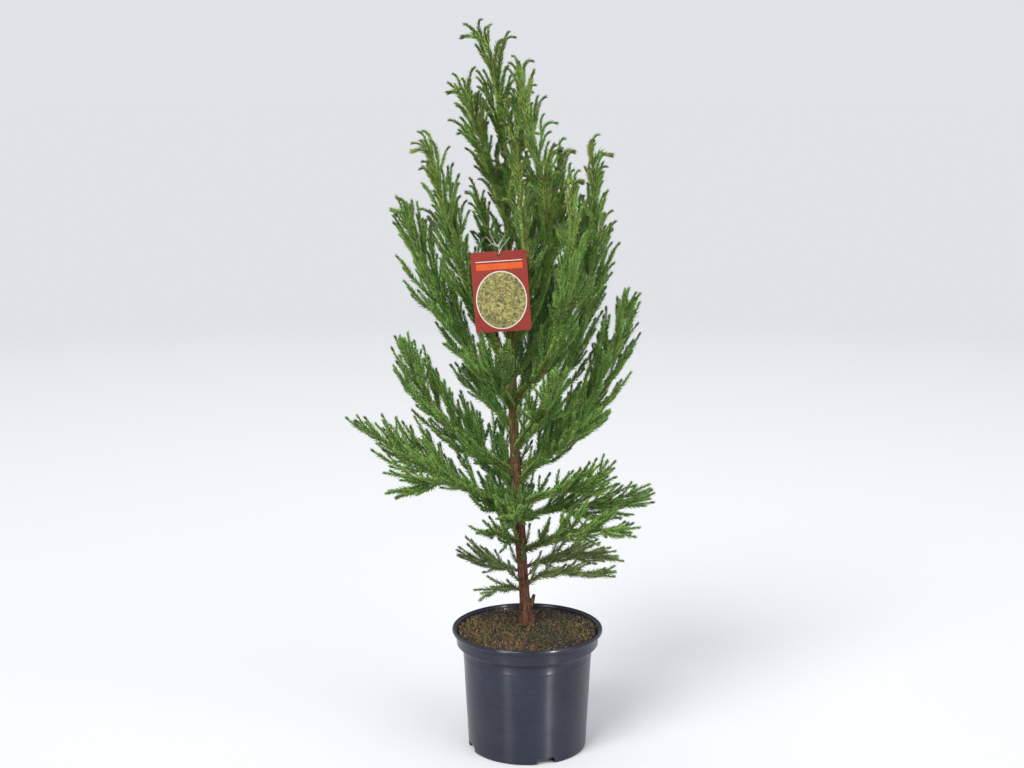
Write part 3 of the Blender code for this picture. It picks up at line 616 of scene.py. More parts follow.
def growBough(name, seed):
    bough, path = boughs[name], paths[name]
    start, sides = solidShoots(name, seed)
    high = min(1, max(0, (bough.height - fine["lowTip"]) / (fine["highTip"] - fine["lowTip"])))
    flat = between(fine["flat"], high)
    foot = footDistance(name)
    group = [(path.part(foot, path.length, 30), lambda distance: boughRadius(path, distance), 0, path)]
    reach = bough.shoot * between(fine["reach"], high)
    middle = start + (path.length - start) * fine["middle"]
    spreads = (between(fine["footSpread"], high), between(fine["tipSpread"], high))
    runs = (  # from, to, and the share of the reach at both
        (start + fine["firstExtra"], middle, 0.80, 1.0),
        (middle, path.length - fine["lastExtra"], 1.0, 0.42),
    )
    extra = []
    for part, (first, last, near, far) in enumerate(runs):
        extra += fineShoots(name, path, first, last, between(fine["pitch"], high),
                            (reach * near, reach * far), spreads, 1000 + seed + 50 * part, flat)
    if bough.bare:
        limb = fineShoots(name, path, foot + fine["limbStart"], start, fine["limbPitch"], fine["limbLength"],
                          fine["limbSpread"], 2000 + seed, flat)
        group += [(points, fine["limbRadius"], 2, path) for points in limb]
    group += [(points, growth["coreRadius"], 1, path) for points in sides]
    group += [(points, fine["radius"], 2, path) for points in extra]
    sideLengths = (between(fine["sideFoot"], high), between(fine["sideTip"], high))
    sideSpread = between(fine["sideSpread"], high)
    for k, side in enumerate(sides + extra):
        sidePath = Path(side)
        if sidePath.length >= fine["longEnough"]:
            small = fineShoots(name, sidePath, fine["sideStart"], sidePath.length - fine["freeTip"],
                               between(fine["sidePitch"], high), sideLengths, (sideSpread, sideSpread - 8),
                               5000 + seed * 100 + k, flat)
            group += [(points, fine["sideRadius"], 3, path) for points in small]
    return grown(group, seed)


def hidesStem(points):  # a shoot that would stand before the stretch of bare stem seen from the front
    tip = points[-1] - trunkCentre(min(points[-1][2], trunk["top"]))
    level = bareStem["from"] < points[0][2] < bareStem["to"]
    return level and tip[1] < -bareStem["front"] and abs(tip[0]) < bareStem["halfWidth"]


def growTrunk():
    first = fine["trunkLow"] - trunk["foot"]
    sides = fineShoots("trunk", trunkAxis, first, trunkAxis.length, fine["trunkPitch"], fine["trunkLength"],
                       fine["trunkSpread"], 900)
    sides += fineShoots("trunk", trunkAxis, fine["stemLow"] - trunk["foot"], first, fine["stemPitch"],
                        fine["stemLength"], fine["stemSpread"], 930)
    sides = [side for side in sides if not hidesStem(side)]
    group = [(points, fine["radius"], 2, trunkAxis) for points in sides]
    for k, side in enumerate(sides):
        sidePath = Path(side)
        small = fineShoots("trunk", sidePath, fine["trunkSideStart"], sidePath.length - fine["trunkFreeTip"],
                           fine["sidePitch"][1], fine["trunkSide"], fine["trunkSideSpread"], 9000 + k)
        group += [(points, fine["sideRadius"], 3, trunkAxis) for points in small]
    return grown(group, 99)


shoots = []
for seed, name in enumerate(boughs):
    shoots += growBough(name, seed)
shoots += growTrunk()
print("shoots:", len(shoots), "metres:", round(sum(shoot["path"].length for shoot in shoots), 1))
shoots.append({"path": Path(trunkLine[trunkLine[:, 2] > 0.29]), "radius": None, "order": 4, "rise": 0.6})


# Needles: one awl of four triangles, laid along every shoot in spirals

needle = {  # the pitches by the order of the shoot: bough, side shoots, finer ones, and the trunk last
    "pitch": {0: 0.00080, 1: 0.00090, 2: 0.00090, 3: 0.00090, 4: 0.00030}, "first": 0.002, "jitter": 0.2,
    "length": (0.0084, 0.0088), "lengthChance": (0.8, 1.15), "boughGain": 0.2, "width": 0.00150,
    "lean": (47, 35), "leanTip": (33, 27), "leanSpan": 0.020, "leanChance": (0.88, 1.12), "curl": 0.12,
    "tipSize": (0.50, 0.60), "tipSpan": 0.022, "bud": 0.0060, "budPitch": 0.45, "sunken": 0.4,
    "trunkHeights": (0.29, 0.55, 0.68), "trunkCover": (0.05, 0.14, 1.0), "bareFoot": 0.13,
    "lowBough": 0.34, "lowCover": 0.45, "perPiece": 190000,
}
needleChance = np.random.default_rng(31)


def needleTemplate():  # along +X from 0.1 to its tip at 1, and a little over 1 across at its foot
    shape = bmesh.new()
    bmesh.ops.create_cone(shape, cap_ends=True, segments=3, radius1=0.66, radius2=0.0, depth=0.90)
    for vert in shape.verts:
        vert.co = (vert.co.z + 0.55, vert.co.x, vert.co.y)
    return templateOf(shape)


needlePlaces, needleCorners = needleTemplate()


def laidAwls(name, root, along, proud, across, length, width, curl):  # the template laid at every root
    x, y, z = needlePlaces.T
    places = root[:, None] + along[:, None] * (x * length)[..., None]
    places = places + proud[:, None] * (y * width - curl * x * x * length)[..., None]
    places = places + across[:, None] * (z * width)[..., None]
    return repeated(name, places, needleCorners)


def shootRadius(shoot, spots):
    if shoot["order"] == 4:
        return trunkRadii(shoot["path"].at(spots)[:, 2]) * 0.97
    if callable(shoot["radius"]):
        return shoot["radius"](spots)
    return shoot["radius"] * (1 - 0.6 * spots / shoot["path"].length)


def needleSpots(shoot):  # closer at a bud and along a bough's first half, thinner on bare wood
    path, order = shoot["path"], shoot["order"]
    pitch = needle["pitch"][order]
    spots = np.arange(needle["first"], path.length, pitch)
    if order < 4:
        budSpots = np.arange(path.length - needle["bud"], path.length, pitch * needle["budPitch"])
        spots = np.concatenate([spots, budSpots])
    if order == 0:
        spots = np.concatenate([spots, np.arange(0.003, path.length * 0.45, pitch * 0.5)])
    spots = spots + needleChance.uniform(-needle["jitter"], needle["jitter"], len(spots)) * pitch
    spots = np.clip(spots, 0, path.length)
    if order == 4:
        cover = np.interp(path.at(spots)[:, 2], needle["trunkHeights"], needle["trunkCover"])
        spots = spots[needleChance.uniform(0, 1, len(spots)) < cover]
    if order == 0:
        cover = needle["lowCover"] if path.points[-1][2] < needle["lowBough"] else 1.0
        bare = shoot["axis"].length * needle["bareFoot"]
        spots = spots[(spots > bare) | (needleChance.uniform(0, 1, len(spots)) < cover)]
    return spots


# Painted light and shade: the tone makes needles paler on the outside of the crown and in front, and darker
# near the stem and at the back.
def needleTone(shoot, foot, fromTip):  # paler far from the stem, in front, behind a tip and low down
    high = shoot["rise"]
    away = np.linalg.norm(foot[:, :2] - np.array([-0.03, 0.02]), axis=1)
    tone = needleChance.uniform(-0.22, 0.58) + 0.62 * np.clip(away / 0.13, 0, 1.1)
    tone = tone - 0.6 * np.clip(foot[:, 1] / 0.08 - 0.4, 0, 1)
    tone = tone + 0.55 * np.clip(fromTip / 0.045, 0, 1) + 0.25 * high
    tone = tone + 0.32 * np.clip((0.64 - foot[:, 2]) / 0.14, 0, 1)
    tone = tone + needleChance.uniform(-0.35, 0.35, len(foot))
    if shoot["order"] in (0, 4):
        tone = tone + 0.3 + 0.5 * high * (shoot["order"] == 0)
    return tone


# The eight columns of needles: foot, heading, outward, size, lean, tone, how far up the crown, and a
# number drawn for each bud, or -1 off the buds
def needleRow(index, shoot):
    path, order, high = shoot["path"], shoot["order"], shoot["rise"]
    spots = needleSpots(shoot)
    count = len(spots)
    heading = path.heading(spots)
    side, other = squareTo(heading, (0.31, 0.87, 0.38))
    angle = np.arange(count) * goldenAngle + needleChance.uniform(-0.12, 0.12, count) + index
    outward = turned(side, other, angle)
    fromTip = path.length - spots
    size = between(needle["length"], high) * needleChance.uniform(*needle["lengthChance"], count)
    if order == 0:
        size = size * (1 + needle["boughGain"] * high)
    tipSize = between(needle["tipSize"], high)
    size = size * (tipSize + (1 - tipSize) * np.clip(fromTip / needle["tipSpan"], 0, 1))
    leans = (between(needle["leanTip"], high), between(needle["lean"], high))
    lean = between(leans, np.clip(fromTip / needle["leanSpan"], 0, 1))
    lean = lean * needleChance.uniform(*needle["leanChance"], count) * (0.5 if order == 4 else 1)
    sunken = 1.0 if order in (0, 4) else needle["sunken"]
    foot = path.at(spots) + outward * (shootRadius(shoot, spots) * sunken)[:, None]
    tone = needleTone(shoot, foot, fromTip)
    levels = high + needleChance.uniform(-0.35, 0.35) + np.zeros(count)
    if order == 4:
        levels = np.ones(count)
    bud = np.where(fromTip < needle["bud"], needleChance.uniform(0, 1), -1.0)
    return foot, heading, outward, size, np.radians(lean), tone, levels, bud


needleRows = [needleRow(index, shoot) for index, shoot in enumerate(shoots)]
columns = [np.concatenate(column) for column in zip(*needleRows)]
foot, heading, outward, size, lean, tone, high, bud = columns
print("needles:", len(size))

isBud = bud > np.where(high > 0.60, 0.40, 0.62)
isHigh = ~isBud & (high > 0.95)
isLow = ~isBud & ~isHigh
isDusky = isLow & (foot[:, 2] + 0.03 * np.sin(tone * 40) < 0.325)
isLow = isLow & ~isDusky
inner = isLow & (foot[:, 2] < 0.52) & (tone < 0.55)
# The greens are picked by the tone, so their darker and paler copies of one green also carry its painted
# light and shade.
needleTones = {
    "needlesBud": (isBud, (0.125, 0.159, 0.060), 0.60),
    "needlesOliveDeep": (isHigh & (tone < 0.70), (0.104, 0.166, 0.033), 0.58),
    "needlesOlive": (isHigh & (tone >= 0.70) & (tone < 1.15), (0.198, 0.283, 0.056), 0.56),
    "needlesOlivePale": (isHigh & (tone >= 1.15), (0.286, 0.376, 0.080), 0.54),
    "needlesDusky": (isDusky & (tone < 0.85), (0.142, 0.196, 0.071), 0.60),
    "needlesDuskyLight": (isDusky & (tone >= 0.85), (0.252, 0.327, 0.118), 0.56),
    "needlesBlue": (inner, (0.105, 0.249, 0.076), 0.58),
    "needlesShade": (isLow & ~inner & (tone < 0.45), (0.069, 0.157, 0.035), 0.60),
    "needlesDeep": (isLow & ~inner & (tone >= 0.45) & (tone < 0.80), (0.111, 0.244, 0.047), 0.58),
    "needlesMid": (isLow & (tone >= 0.80) & (tone < 1.20), (0.172, 0.327, 0.063), 0.56),
    "needlesBright": (isLow & (tone >= 1.20), (0.248, 0.409, 0.092), 0.54),
}


def needlePieces(name, wanted, colour, roughness):
    finish = Finish(name, colour, roughness, Specular_IOR_Level=0.16)
    finish.mottled(finish.noise(55.0, 2.0), 0.35, 0.65, shaded(colour, 0.72), shaded(colour, 1.22))
    chosen = np.flatnonzero(wanted)
    perPiece = needle["perPiece"] // len(needleCorners)
    chunks = max(1, math.ceil(len(chosen) / perPiece))
    chosen = chosen[np.argsort(foot[chosen, 2], kind="stable")]
    made = []
    for k, picked in enumerate(np.array_split(chosen, chunks)):
        along = turned(heading[picked], outward[picked], lean[picked])
        proud = turned(outward[picked], heading[picked], -lean[picked])
        length = size[picked][:, None]
        width = needle["width"] * (0.6 + 0.4 * length / needle["length"][1])
        mesh = laidAwls(f"{name}{k}", foot[picked], along, proud, np.cross(along, proud), length, width,
                        needle["curl"])
        mesh.shade_smooth()
        made.append(putIn(f"{name}{k}", mesh, finish))
    return made


needleGroups = []
for name, (wanted, colour, roughness) in needleTones.items():
    needleGroups += needlePieces(name, wanted, colour, roughness)
    print(name, int(wanted.sum()))
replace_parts(needleGroups[0], *["foliage_" + name for name in boughs])


# Twigs: tapering tubes under the needles

twigTones = {
    "twigsBrown": (0.120, 0.068, 0.030),
    "twigsOlive": (0.185, 0.190, 0.040),
    "twigsGreen": (0.095, 0.165, 0.034),
}


def tubeMesh(name, rows, resolution):
    curve = bpy.data.curves.new(name, "CURVE")
    curve.dimensions = "3D"
    curve.bevel_depth = 1.0
    curve.bevel_resolution = resolution
    curve.use_fill_caps = True
    for points, radii in rows:
        spline = curve.splines.new("POLY")
        spline.points.add(len(points) - 1)
        spline.points.foreach_set("co", np.c_[points, np.ones(len(points))].ravel())
        spline.points.foreach_set("radius", np.asarray(radii, float))
    holder = placed(name, curve)
    mesh = finishedMesh(holder)
    bpy.data.objects.remove(holder, do_unlink=True)
    mesh.name = name
    return mesh


def twigPiece(name, colour, rows):
    mesh = tubeMesh(name, rows, 0)
    finish = Finish(name, colour, 0.65)
    streaks = finish.noise(1.0, 3.0, place=finish.stretched(900.0, 900.0, 160.0))
    finish.mottled(streaks, 0.35, 0.7, shaded(colour, 0.6), colour)
    finish.relief(streaks, 0.0003)
    mesh.shade_smooth()
    return putIn(name, mesh, finish)


twigRows = {name: [] for name in twigTones}
for shoot in shoots[:-1]:
    path = shoot["path"]
    count = max(4, round(path.length / (0.008 if shoot["order"] < 2 else 0.010)))
    points = path.part(0, path.length - 0.001, count)
    radii = np.maximum(shootRadius(shoot, np.linspace(0, path.length, count)), 0.0004)
    if shoot["order"]:
        twigRows["twigsOlive" if shoot["rise"] > 0.5 else "twigsGreen"].append((points, radii))
        continue
    cutAt = max(2, round(count * (0.30 if shoot["rise"] < 0.7 else 0.10)))
    mid = max(cutAt + 2, round(count * 0.68))
    twigRows["twigsBrown"].append((points[:cutAt + 1], radii[:cutAt + 1]))
    twigRows["twigsOlive"].append((points[cutAt:mid + 1], radii[cutAt:mid + 1]))
    twigRows["twigsGreen"].append((points[mid:], radii[mid:]))
for name, colour in twigTones.items():
    twigPiece(name, colour, twigRows[name])
print("twigs made")


# Bark: the trunk, its torn stub and the bare limbs, with fibrous furrows in the mesh

def makeBarkFinish(name, low, high, most):  # greener from one height to the other
    finish = Finish(name, (0.115, 0.045, 0.026), 0.9, Specular_IOR_Level=0.14)
    fibre = finish.noise(1.0, 6.0, 0.70, finish.stretched(430.0, 430.0, 48.0), 0.8)
    flakes = finish.noise(1.0, 4.0, 0.65, finish.stretched(210.0, 210.0, 95.0), 0.4)
    patch = finish.noise(42.0, 3.0)
    furrows = fibre * 0.6 + flakes * 0.4
    base = finish.ramp(furrows, (0.40, (0.022, 0.009, 0.006)), (0.49, (0.098, 0.040, 0.024)),
                       (0.60, (0.235, 0.108, 0.060)))
    dusty = finish.tint(finish.range(patch, 0.50, 0.75) * 0.45, base, (0.150, 0.105, 0.064))
    greener = finish.range(finish.along("Z"), low, high) * most
    finish.feed("Base Color", finish.tint(greener, dusty, (0.165, 0.142, 0.046)))
    finish.relief(furrows, 0.0022)
    return finish


barkFinish = makeBarkFinish("cedarBark", 0.32, 0.66, 0.72)
limbFinish = makeBarkFinish("limbBark", 0.27, 0.37, 0.85)


def sweptTube(rings):  # a closed tube through rings of corners
    shape = bmesh.new()
    bmesh.ops.create_circle(shape, cap_ends=True, segments=len(rings[0]), radius=1)
    ring = list(shape.verts)
    loop = list(shape.edges)
    for i, corners in enumerate(rings):
        if i:
            grown = bmesh.ops.extrude_edge_only(shape, edges=loop)["geom"]
            fresh = [item for item in grown if isinstance(item, bmesh.types.BMVert)]
            before = {tuple(old.co): k for k, old in enumerate(ring)}
            ordered = [None] * len(ring)
            for new in fresh:
                ordered[before[tuple(new.co)]] = new
            ring = ordered
            known = set(fresh)
            edges = [item for item in grown if isinstance(item, bmesh.types.BMEdge)]
            loop = [edge for edge in edges if edge.verts[0] in known and edge.verts[1] in known]
        for vert, corner in zip(ring, corners):
            vert.co = corner
    bmesh.ops.edgeloop_fill(shape, edges=loop)
    return shape


# waves around the stem, waves along it, and the share of the depth
barkNoises = ((3.2, 16, 1.0), (8, 42, 0.8), (5, 170, 0.45))
stemRadius = 0.0075  # at which a furrow has its full depth


def barkSwell(angle, travelled, depth, seed):
    swell = 0.0
    for around, along, share in barkNoises:
        x, y = math.cos(angle) * around + seed, math.sin(angle) * around
        swell += share * noise.noise(Vector((x, y, travelled * along)))
    return 1 + depth * swell / stemRadius


def barkRings(centres, radii, sides, depth, seed):
    ahead = unit(np.gradient(centres, axis=0))
    side = unit(np.cross(ahead[0], np.array([0.2, 1.0, 0.1])))
    rings = []
    travelled = 0.0
    for i, (centre, heading, radius) in enumerate(zip(centres, ahead, radii)):
        side = unit(side - heading * np.dot(side, heading))
        other = np.cross(heading, side)
        travelled += np.linalg.norm(centres[i] - centres[i - 1]) if i else 0
        ring = []
        for k in range(sides):
            angle = math.tau * k / sides
            out = side * math.cos(angle) + other * math.sin(angle)
            ring.append(centre + out * radius * barkSwell(angle, travelled, depth, seed))
        rings.append(ring)
    return rings


def makeTrunk():
    heights = np.linspace(trunk["foot"], trunk["top"], trunk["rings"])
    centres = np.array([trunkCentre(height) for height in heights])
    stouter = trunk["stouter"] * np.clip((heights - trunk["stoutFrom"]) / 0.08, 0, 1)
    stouter = stouter * np.clip((trunk["stoutTo"] - heights) / 0.10, 0, 1)
    radii = trunkRadii(heights) * (trunk["slimmer"] + stouter)
    rings = barkRings(centres, radii, trunk["sides"], trunk["furrowDepth"], 3.0)
    for k, corner in enumerate(rings[0]):
        rings[0][k] = np.array([corner[0], corner[1], trunk["foot"]])
    return fromShape("trunkBark", sweptTube(rings), barkFinish, 60)


def makeLimbs():
    whole = bmesh.new()
    for k, (name, bough) in enumerate(boughs.items()):
        if not bough.bare:
            continue
        path = paths[name]
        start = footDistance(name) - boughShape["sunk"]
        end = path.length * bough.bare + boughShape["past"]
        count = max(6, round((end - start) / boughShape["ringPitch"]))
        marks = np.linspace(start, end, count)
        radii = boughRadius(path, np.maximum(marks, 0))
        rings = barkRings(path.at(marks), radii, boughShape["sides"], boughShape["furrowDepth"], k * 7.0)
        mesh = meshOf("limb", sweptTube(rings))
        whole.from_mesh(mesh)
        bpy.data.meshes.remove(mesh)
    return fromShape("limbs", whole, limbFinish, 60)


stub = {
    "compass": math.radians(-12), "height": 0.201, "reach": 0.0125, "length": 0.023, "radius": 0.0046,
    "sides": 14, "furrowDepth": 0.0009, "torn": 0.0035,
}


def makeStub():  # the torn foot of a lost side stem
    out = np.array([math.cos(stub["compass"]), math.sin(stub["compass"]), 0])
    root = trunkCentre(stub["height"])
    elbow = root + out * stub["reach"] * 0.6 + up * stub["length"] * 0.25
    tip = root + out * stub["reach"] + up * stub["length"]
    line = Path(rounded(np.array([root, elbow, tip])))
    share = np.linspace(0, 1, 14)
    radii = stub["radius"] * np.interp(share, [0, 0.45, 1], [1.0, 0.9, 0.45])
    rings = barkRings(line.at(share * line.length), radii, stub["sides"], stub["furrowDepth"], 21.0)
    for k, corner in enumerate(rings[-1]):
        rings[-1][k] = corner - up * stub["torn"] * abs(noise.noise(Vector((k * 1.9, 4.0, 0))))
    return fromShape("stubBark", sweptTube(rings), barkFinish, 45)


trunkPiece = makeTrunk()
limbPiece = makeLimbs()
makeStub()
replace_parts(trunkPiece, "trunk")
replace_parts(limbPiece, *["bough_" + name for name, bough in boughs.items() if bough.bare])
print("bark made")


# The pot: one spun wall with a stepped collar, a rolled lip and four notches at its foot

pot = {
    "steps": 160, "height": 0.181, "lip": 0.1107, "collar": 0.1040, "collarFoot": 0.1575,
    "bodyTop": 0.0946, "bodyTopHeight": 0.150, "base": 0.0868, "wall": 0.0014, "floor": 0.0035,
    "rippleFrom": 0.0040, "rippleTo": 0.1360, "ripplePitch": (0.00045, 0.00075), "ripple": 0.00003,
    "drains": 4, "drainWidth": 0.027, "drainHeight": 0.009, "drainDepth": 0.012, "drainCorner": 0.0035,
    "drainFirst": math.radians(18),
}


def makePotFinish():
    finish = Finish("slatePlastic", (0.014, 0.016, 0.028), 0.30, Specular_IOR_Level=0.42, Anisotropic=0.9,
                    Anisotropic_Rotation=0.25)
    cloud = finish.noise(14.0, 4.0, 0.6)
    marks = finish.noise(1.0, 4.0, 0.6, finish.stretched(16.0, 16.0, 240.0))
    waves = finish.noise(1.0, 2.0, 0.5, finish.stretched(30.0, 30.0, 9.0))
    cloudy = finish.range(marks * 0.4 + cloud * 0.6, 0.40, 0.66)
    plastic = finish.tint(cloudy, (0.009, 0.011, 0.025), (0.017, 0.020, 0.039))
    x, y, z = (finish.along(axis) for axis in "XYZ")
    across = (x * x + y * y) ** 0.5
    # Painted shade: inside the pot's upper wall and on the inner top of its lip the colour is nearly black,
    # and those places are also rougher.
    bores = ((0.1034, 0.1585), (0.1050, 0.1750), (0.1090, 0.1796))  # radius, and the height where it starts
    paintedShadeInside = sum((across < radius) * (z > height) for radius, height in bores) > 0.5
    finish.feed("Base Color", finish.tint(paintedShadeInside, plastic, (0.006, 0.006, 0.007)))
    finish.feed("Roughness", finish.range(cloud, 0.3, 0.75, 0.26, 0.34) + paintedShadeInside * 0.4)
    finish.relief(marks * 0.15 + waves, 0.0005)
    return finish


def makePot():
    top, lip, collar, base, wall = (pot[key] for key in ("height", "lip", "collar", "base", "wall"))
    chance = random.Random(5)
    heights = [pot["rippleFrom"]]
    while heights[-1] < pot["rippleTo"]:
        heights.append(heights[-1] + chance.uniform(*pot["ripplePitch"]))
    ripples = [
        (np.interp(height, [0.003, 0.033, 0.080, 0.138], [0.0870, 0.0885, 0.0911, 0.0940])
         + pot["ripple"] * chance.uniform(0.5, 1.3) * (0, 1, 0, -1)[k % 4], height)
        for k, height in enumerate(heights)
    ]
    outside = [
        (0, 0), (base - 0.0014, 0), (base - 0.0002, 0.0010), (base + 0.0002, 0.0030),
        *ripples, (0.0940, 0.1380), (0.09435, 0.1392), (0.0941, 0.1400),
        (pot["bodyTop"], pot["bodyTopHeight"]), (0.0950, 0.1512), (collar - 0.0008, 0.1566),
        (collar - 0.0001, pot["collarFoot"]), (collar + 0.0002, 0.1590),
        (collar + 0.0006, top - 0.0096), (collar + 0.0012, top - 0.0082),
        (lip - 0.0016, top - 0.0068), (lip - 0.0003, top - 0.0048), (lip, top - 0.0032),
        (lip - 0.0004, top - 0.0014), (lip - 0.0016, top - 0.0003), (lip - 0.0030, top),
        (0.1070, top - 0.0004), (0.1058, top - 0.0016), (0.1046, top - 0.0044),
    ]
    inside = [
        (collar - wall + 0.0006, top - 0.0080), (collar - wall, top - 0.0110),
        (collar - wall, pot["collarFoot"] + 0.0005),
        (pot["bodyTop"] - wall, pot["bodyTopHeight"] - 0.0010), (base - wall, pot["floor"]),
        (0, pot["floor"]),
    ]
    shape = bmesh.new()
    corners = [shape.verts.new((radius, 0, height)) for radius, height in [*outside, *inside]]
    for before, after in zip(corners, corners[1:]):
        shape.edges.new((before, after))
    bmesh.ops.spin(shape, geom=shape.verts[:] + shape.edges[:], cent=(0, 0, 0), axis=(0, 0, 1),
                   angle=math.tau, steps=pot["steps"], use_merge=True)
    bmesh.ops.remove_doubles(shape, verts=shape.verts, dist=1e-6)
    return fromShape("nurseryPot", shape, makePotFinish(), 40)


def notchPot(piece):
    for k in range(pot["drains"]):
        compass = pot["drainFirst"] + k * math.tau / pot["drains"]
        shape = bmesh.new()
        bmesh.ops.create_cube(shape, size=1)
        size = (2 * pot["drainDepth"], pot["drainWidth"], 2 * pot["drainHeight"])
        bmesh.ops.scale(shape, vec=size, verts=shape.verts)
        upper = [edge for edge in shape.edges if all(vert.co.z > 0 for vert in edge.verts)
                 and abs(edge.verts[0].co.y - edge.verts[1].co.y) < 1e-6]
        bmesh.ops.bevel(shape, geom=upper, offset=pot["drainCorner"], segments=4, profile=0.5,
                        affect="EDGES", material=-1)
        place = Matrix.Rotation(compass, 4, "Z") @ Matrix.Translation((pot["base"], 0, 0))
        bmesh.ops.transform(shape, matrix=place, verts=shape.verts)
        cutFrom(piece, "notch", shape)


potPiece = makePot()
notchPot(potPiece)
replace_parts(potPiece, "pot")
print("pot made")


# Potting mix: an uneven surface, crumbs of bark, and tufts of moss

soil = {
    "edge": 0.1735, "radius": 0.1022, "rings": 46, "steps": 150, "foot": 0.150, "footShare": 0.90,
    "aroundStem": 0.0135,
}


def soilHeight(x, y):
    centre = trunkCentre(trunk["foot"])
    away = math.hypot(x - centre[0] * 0.9, y - centre[1] * 0.9)
    rise = np.interp(away, [0.0, 0.018, 0.040, 0.072, 0.100], [0.0053, 0.0053, 0.0026, 0.0008, 0.0])
    rise += 0.0018 * (x / 0.1) ** 2
    rough = noise.noise(Vector((x * 34, y * 34, 1.0))) * 0.0016
    rough += noise.noise(Vector((x * 120, y * 120, 5.0))) * 0.0008
    near = min(1, math.hypot(x - centre[0], y - centre[1]) / 0.03)
    return soil["edge"] + rise + rough * near - 0.0002


def makeSoilFinish():
    finish = Finish("pottingMix", (0.045, 0.028, 0.014), 0.95, Specular_IOR_Level=0.2)
    grit = finish.noise(420.0, 5.0, 0.7)
    patch = finish.noise(26.0, 3.0)
    earth = finish.ramp(grit, (0.34, (0.012, 0.008, 0.005)), (0.52, (0.060, 0.036, 0.018)),
                        (0.68, (0.150, 0.085, 0.040)))
    mossy = finish.range(patch, 0.45, 0.62) * 0.6
    finish.feed("Base Color", finish.tint(mossy, earth, (0.085, 0.075, 0.018)))
    finish.relief(grit, 0.0016)
    return finish


def widestFace(shape):
    return max(shape.faces, key=lambda face: len(face.verts))


def makeSoil():
    shape = bmesh.new()
    bmesh.ops.create_circle(shape, segments=soil["steps"], radius=soil["radius"], cap_ends=True)
    for ring in range(soil["rings"]):
        share = 1 - (ring + 1) / (soil["rings"] + 1)
        bmesh.ops.inset_region(shape, faces=[widestFace(shape)], thickness=0.0001, use_even_offset=True)
        for vert in widestFace(shape).verts:
            angle = math.atan2(vert.co.y, vert.co.x)
            vert.co = (math.cos(angle) * soil["radius"] * share, math.sin(angle) * soil["radius"] * share, 0)
    bmesh.ops.poke(shape, faces=[widestFace(shape)])
    for vert in shape.verts:
        vert.co.z = soilHeight(vert.co.x, vert.co.y)
    rim = [edge for edge in shape.edges if edge.is_boundary]
    grown = bmesh.ops.extrude_edge_only(shape, edges=rim)["geom"]
    for item in grown:
        if isinstance(item, bmesh.types.BMVert):
            item.co.z = soil["foot"]
            item.co.xy *= soil["footShare"]
    bmesh.ops.edgeloop_fill(shape, edges=[edge for edge in shape.edges if edge.is_boundary])
    return fromShape("pottingMix", shape, makeSoilFinish(), 70)


def scattered(count, seed, wanted):  # places on the soil, kept where a wish for that place says so
    chance = np.random.default_rng(seed)
    centre = trunkCentre(trunk["foot"])
    rows = []
    while len(rows) < count:
        angle = chance.uniform(0, math.tau)
        away = soil["radius"] * 0.985 * math.sqrt(chance.uniform(0, 1))
        x, y = math.cos(angle) * away, math.sin(angle) * away
        besideStem = math.hypot(x - centre[0], y - centre[1]) > soil["aroundStem"]
        if besideStem and chance.uniform(0, 1) < wanted(x, y):
            rows.append((x, y, soilHeight(x, y)))
    return np.array(rows), chance


def crumbPiece(name, colour, count, size, seed, wanted):
    shape = bmesh.new()
    bmesh.ops.create_icosphere(shape, subdivisions=1, radius=0.5)
    places, corners = templateOf(shape)
    spots, chance = scattered(count, seed, wanted)
    scale = chance.uniform(size[0], size[1], (count, 1)) * chance.uniform(0.45, 1.25, (count, 3))
    turns = np.array([Euler(tuple(chance.uniform(0, math.tau, 3))).to_matrix() for _ in range(count)])
    bumpy = places[None] * (1 + chance.uniform(-0.28, 0.28, (count, len(places), 1))) * scale[:, None]
    laid = np.einsum("nij,nkj->nki", turns, bumpy) + spots[:, None]
    finish = Finish(name, colour, 0.9)
    grain = finish.noise(700.0, 3.0)
    finish.mottled(grain, 0.35, 0.65, shaded(colour, 0.45), colour)
    finish.relief(grain, 0.0004)
    return putIn(name, repeated(name, laid, corners), finish, 50)


def mossPiece(name, colour, count, size, seed, wanted):
    spots, chance = scattered(count, seed, wanted)
    angle = chance.uniform(0, math.tau, count)
    tilt = chance.uniform(0.15, 1.25, count)
    along = np.stack([np.cos(angle) * np.sin(tilt), np.sin(angle) * np.sin(tilt), np.cos(tilt)], axis=1)
    across = unit(np.cross(along, up + 0.01))
    length = chance.uniform(size[0], size[1], count)[:, None]
    mesh = laidAwls(name, spots - up * 0.0006, along, np.cross(across, along), across, length,
                    length * 0.26, 0.25)
    finish = Finish(name, colour, 0.85)
    finish.mottled(finish.noise(260.0, 2.0), 0.35, 0.65, shaded(colour, 0.5), colour)
    return putIn(name, mesh, finish, 60)


def patchAt(x, y, cx, cy, spread):
    return math.exp(-((x - cx) ** 2 + (y - cy) ** 2) / spread**2)


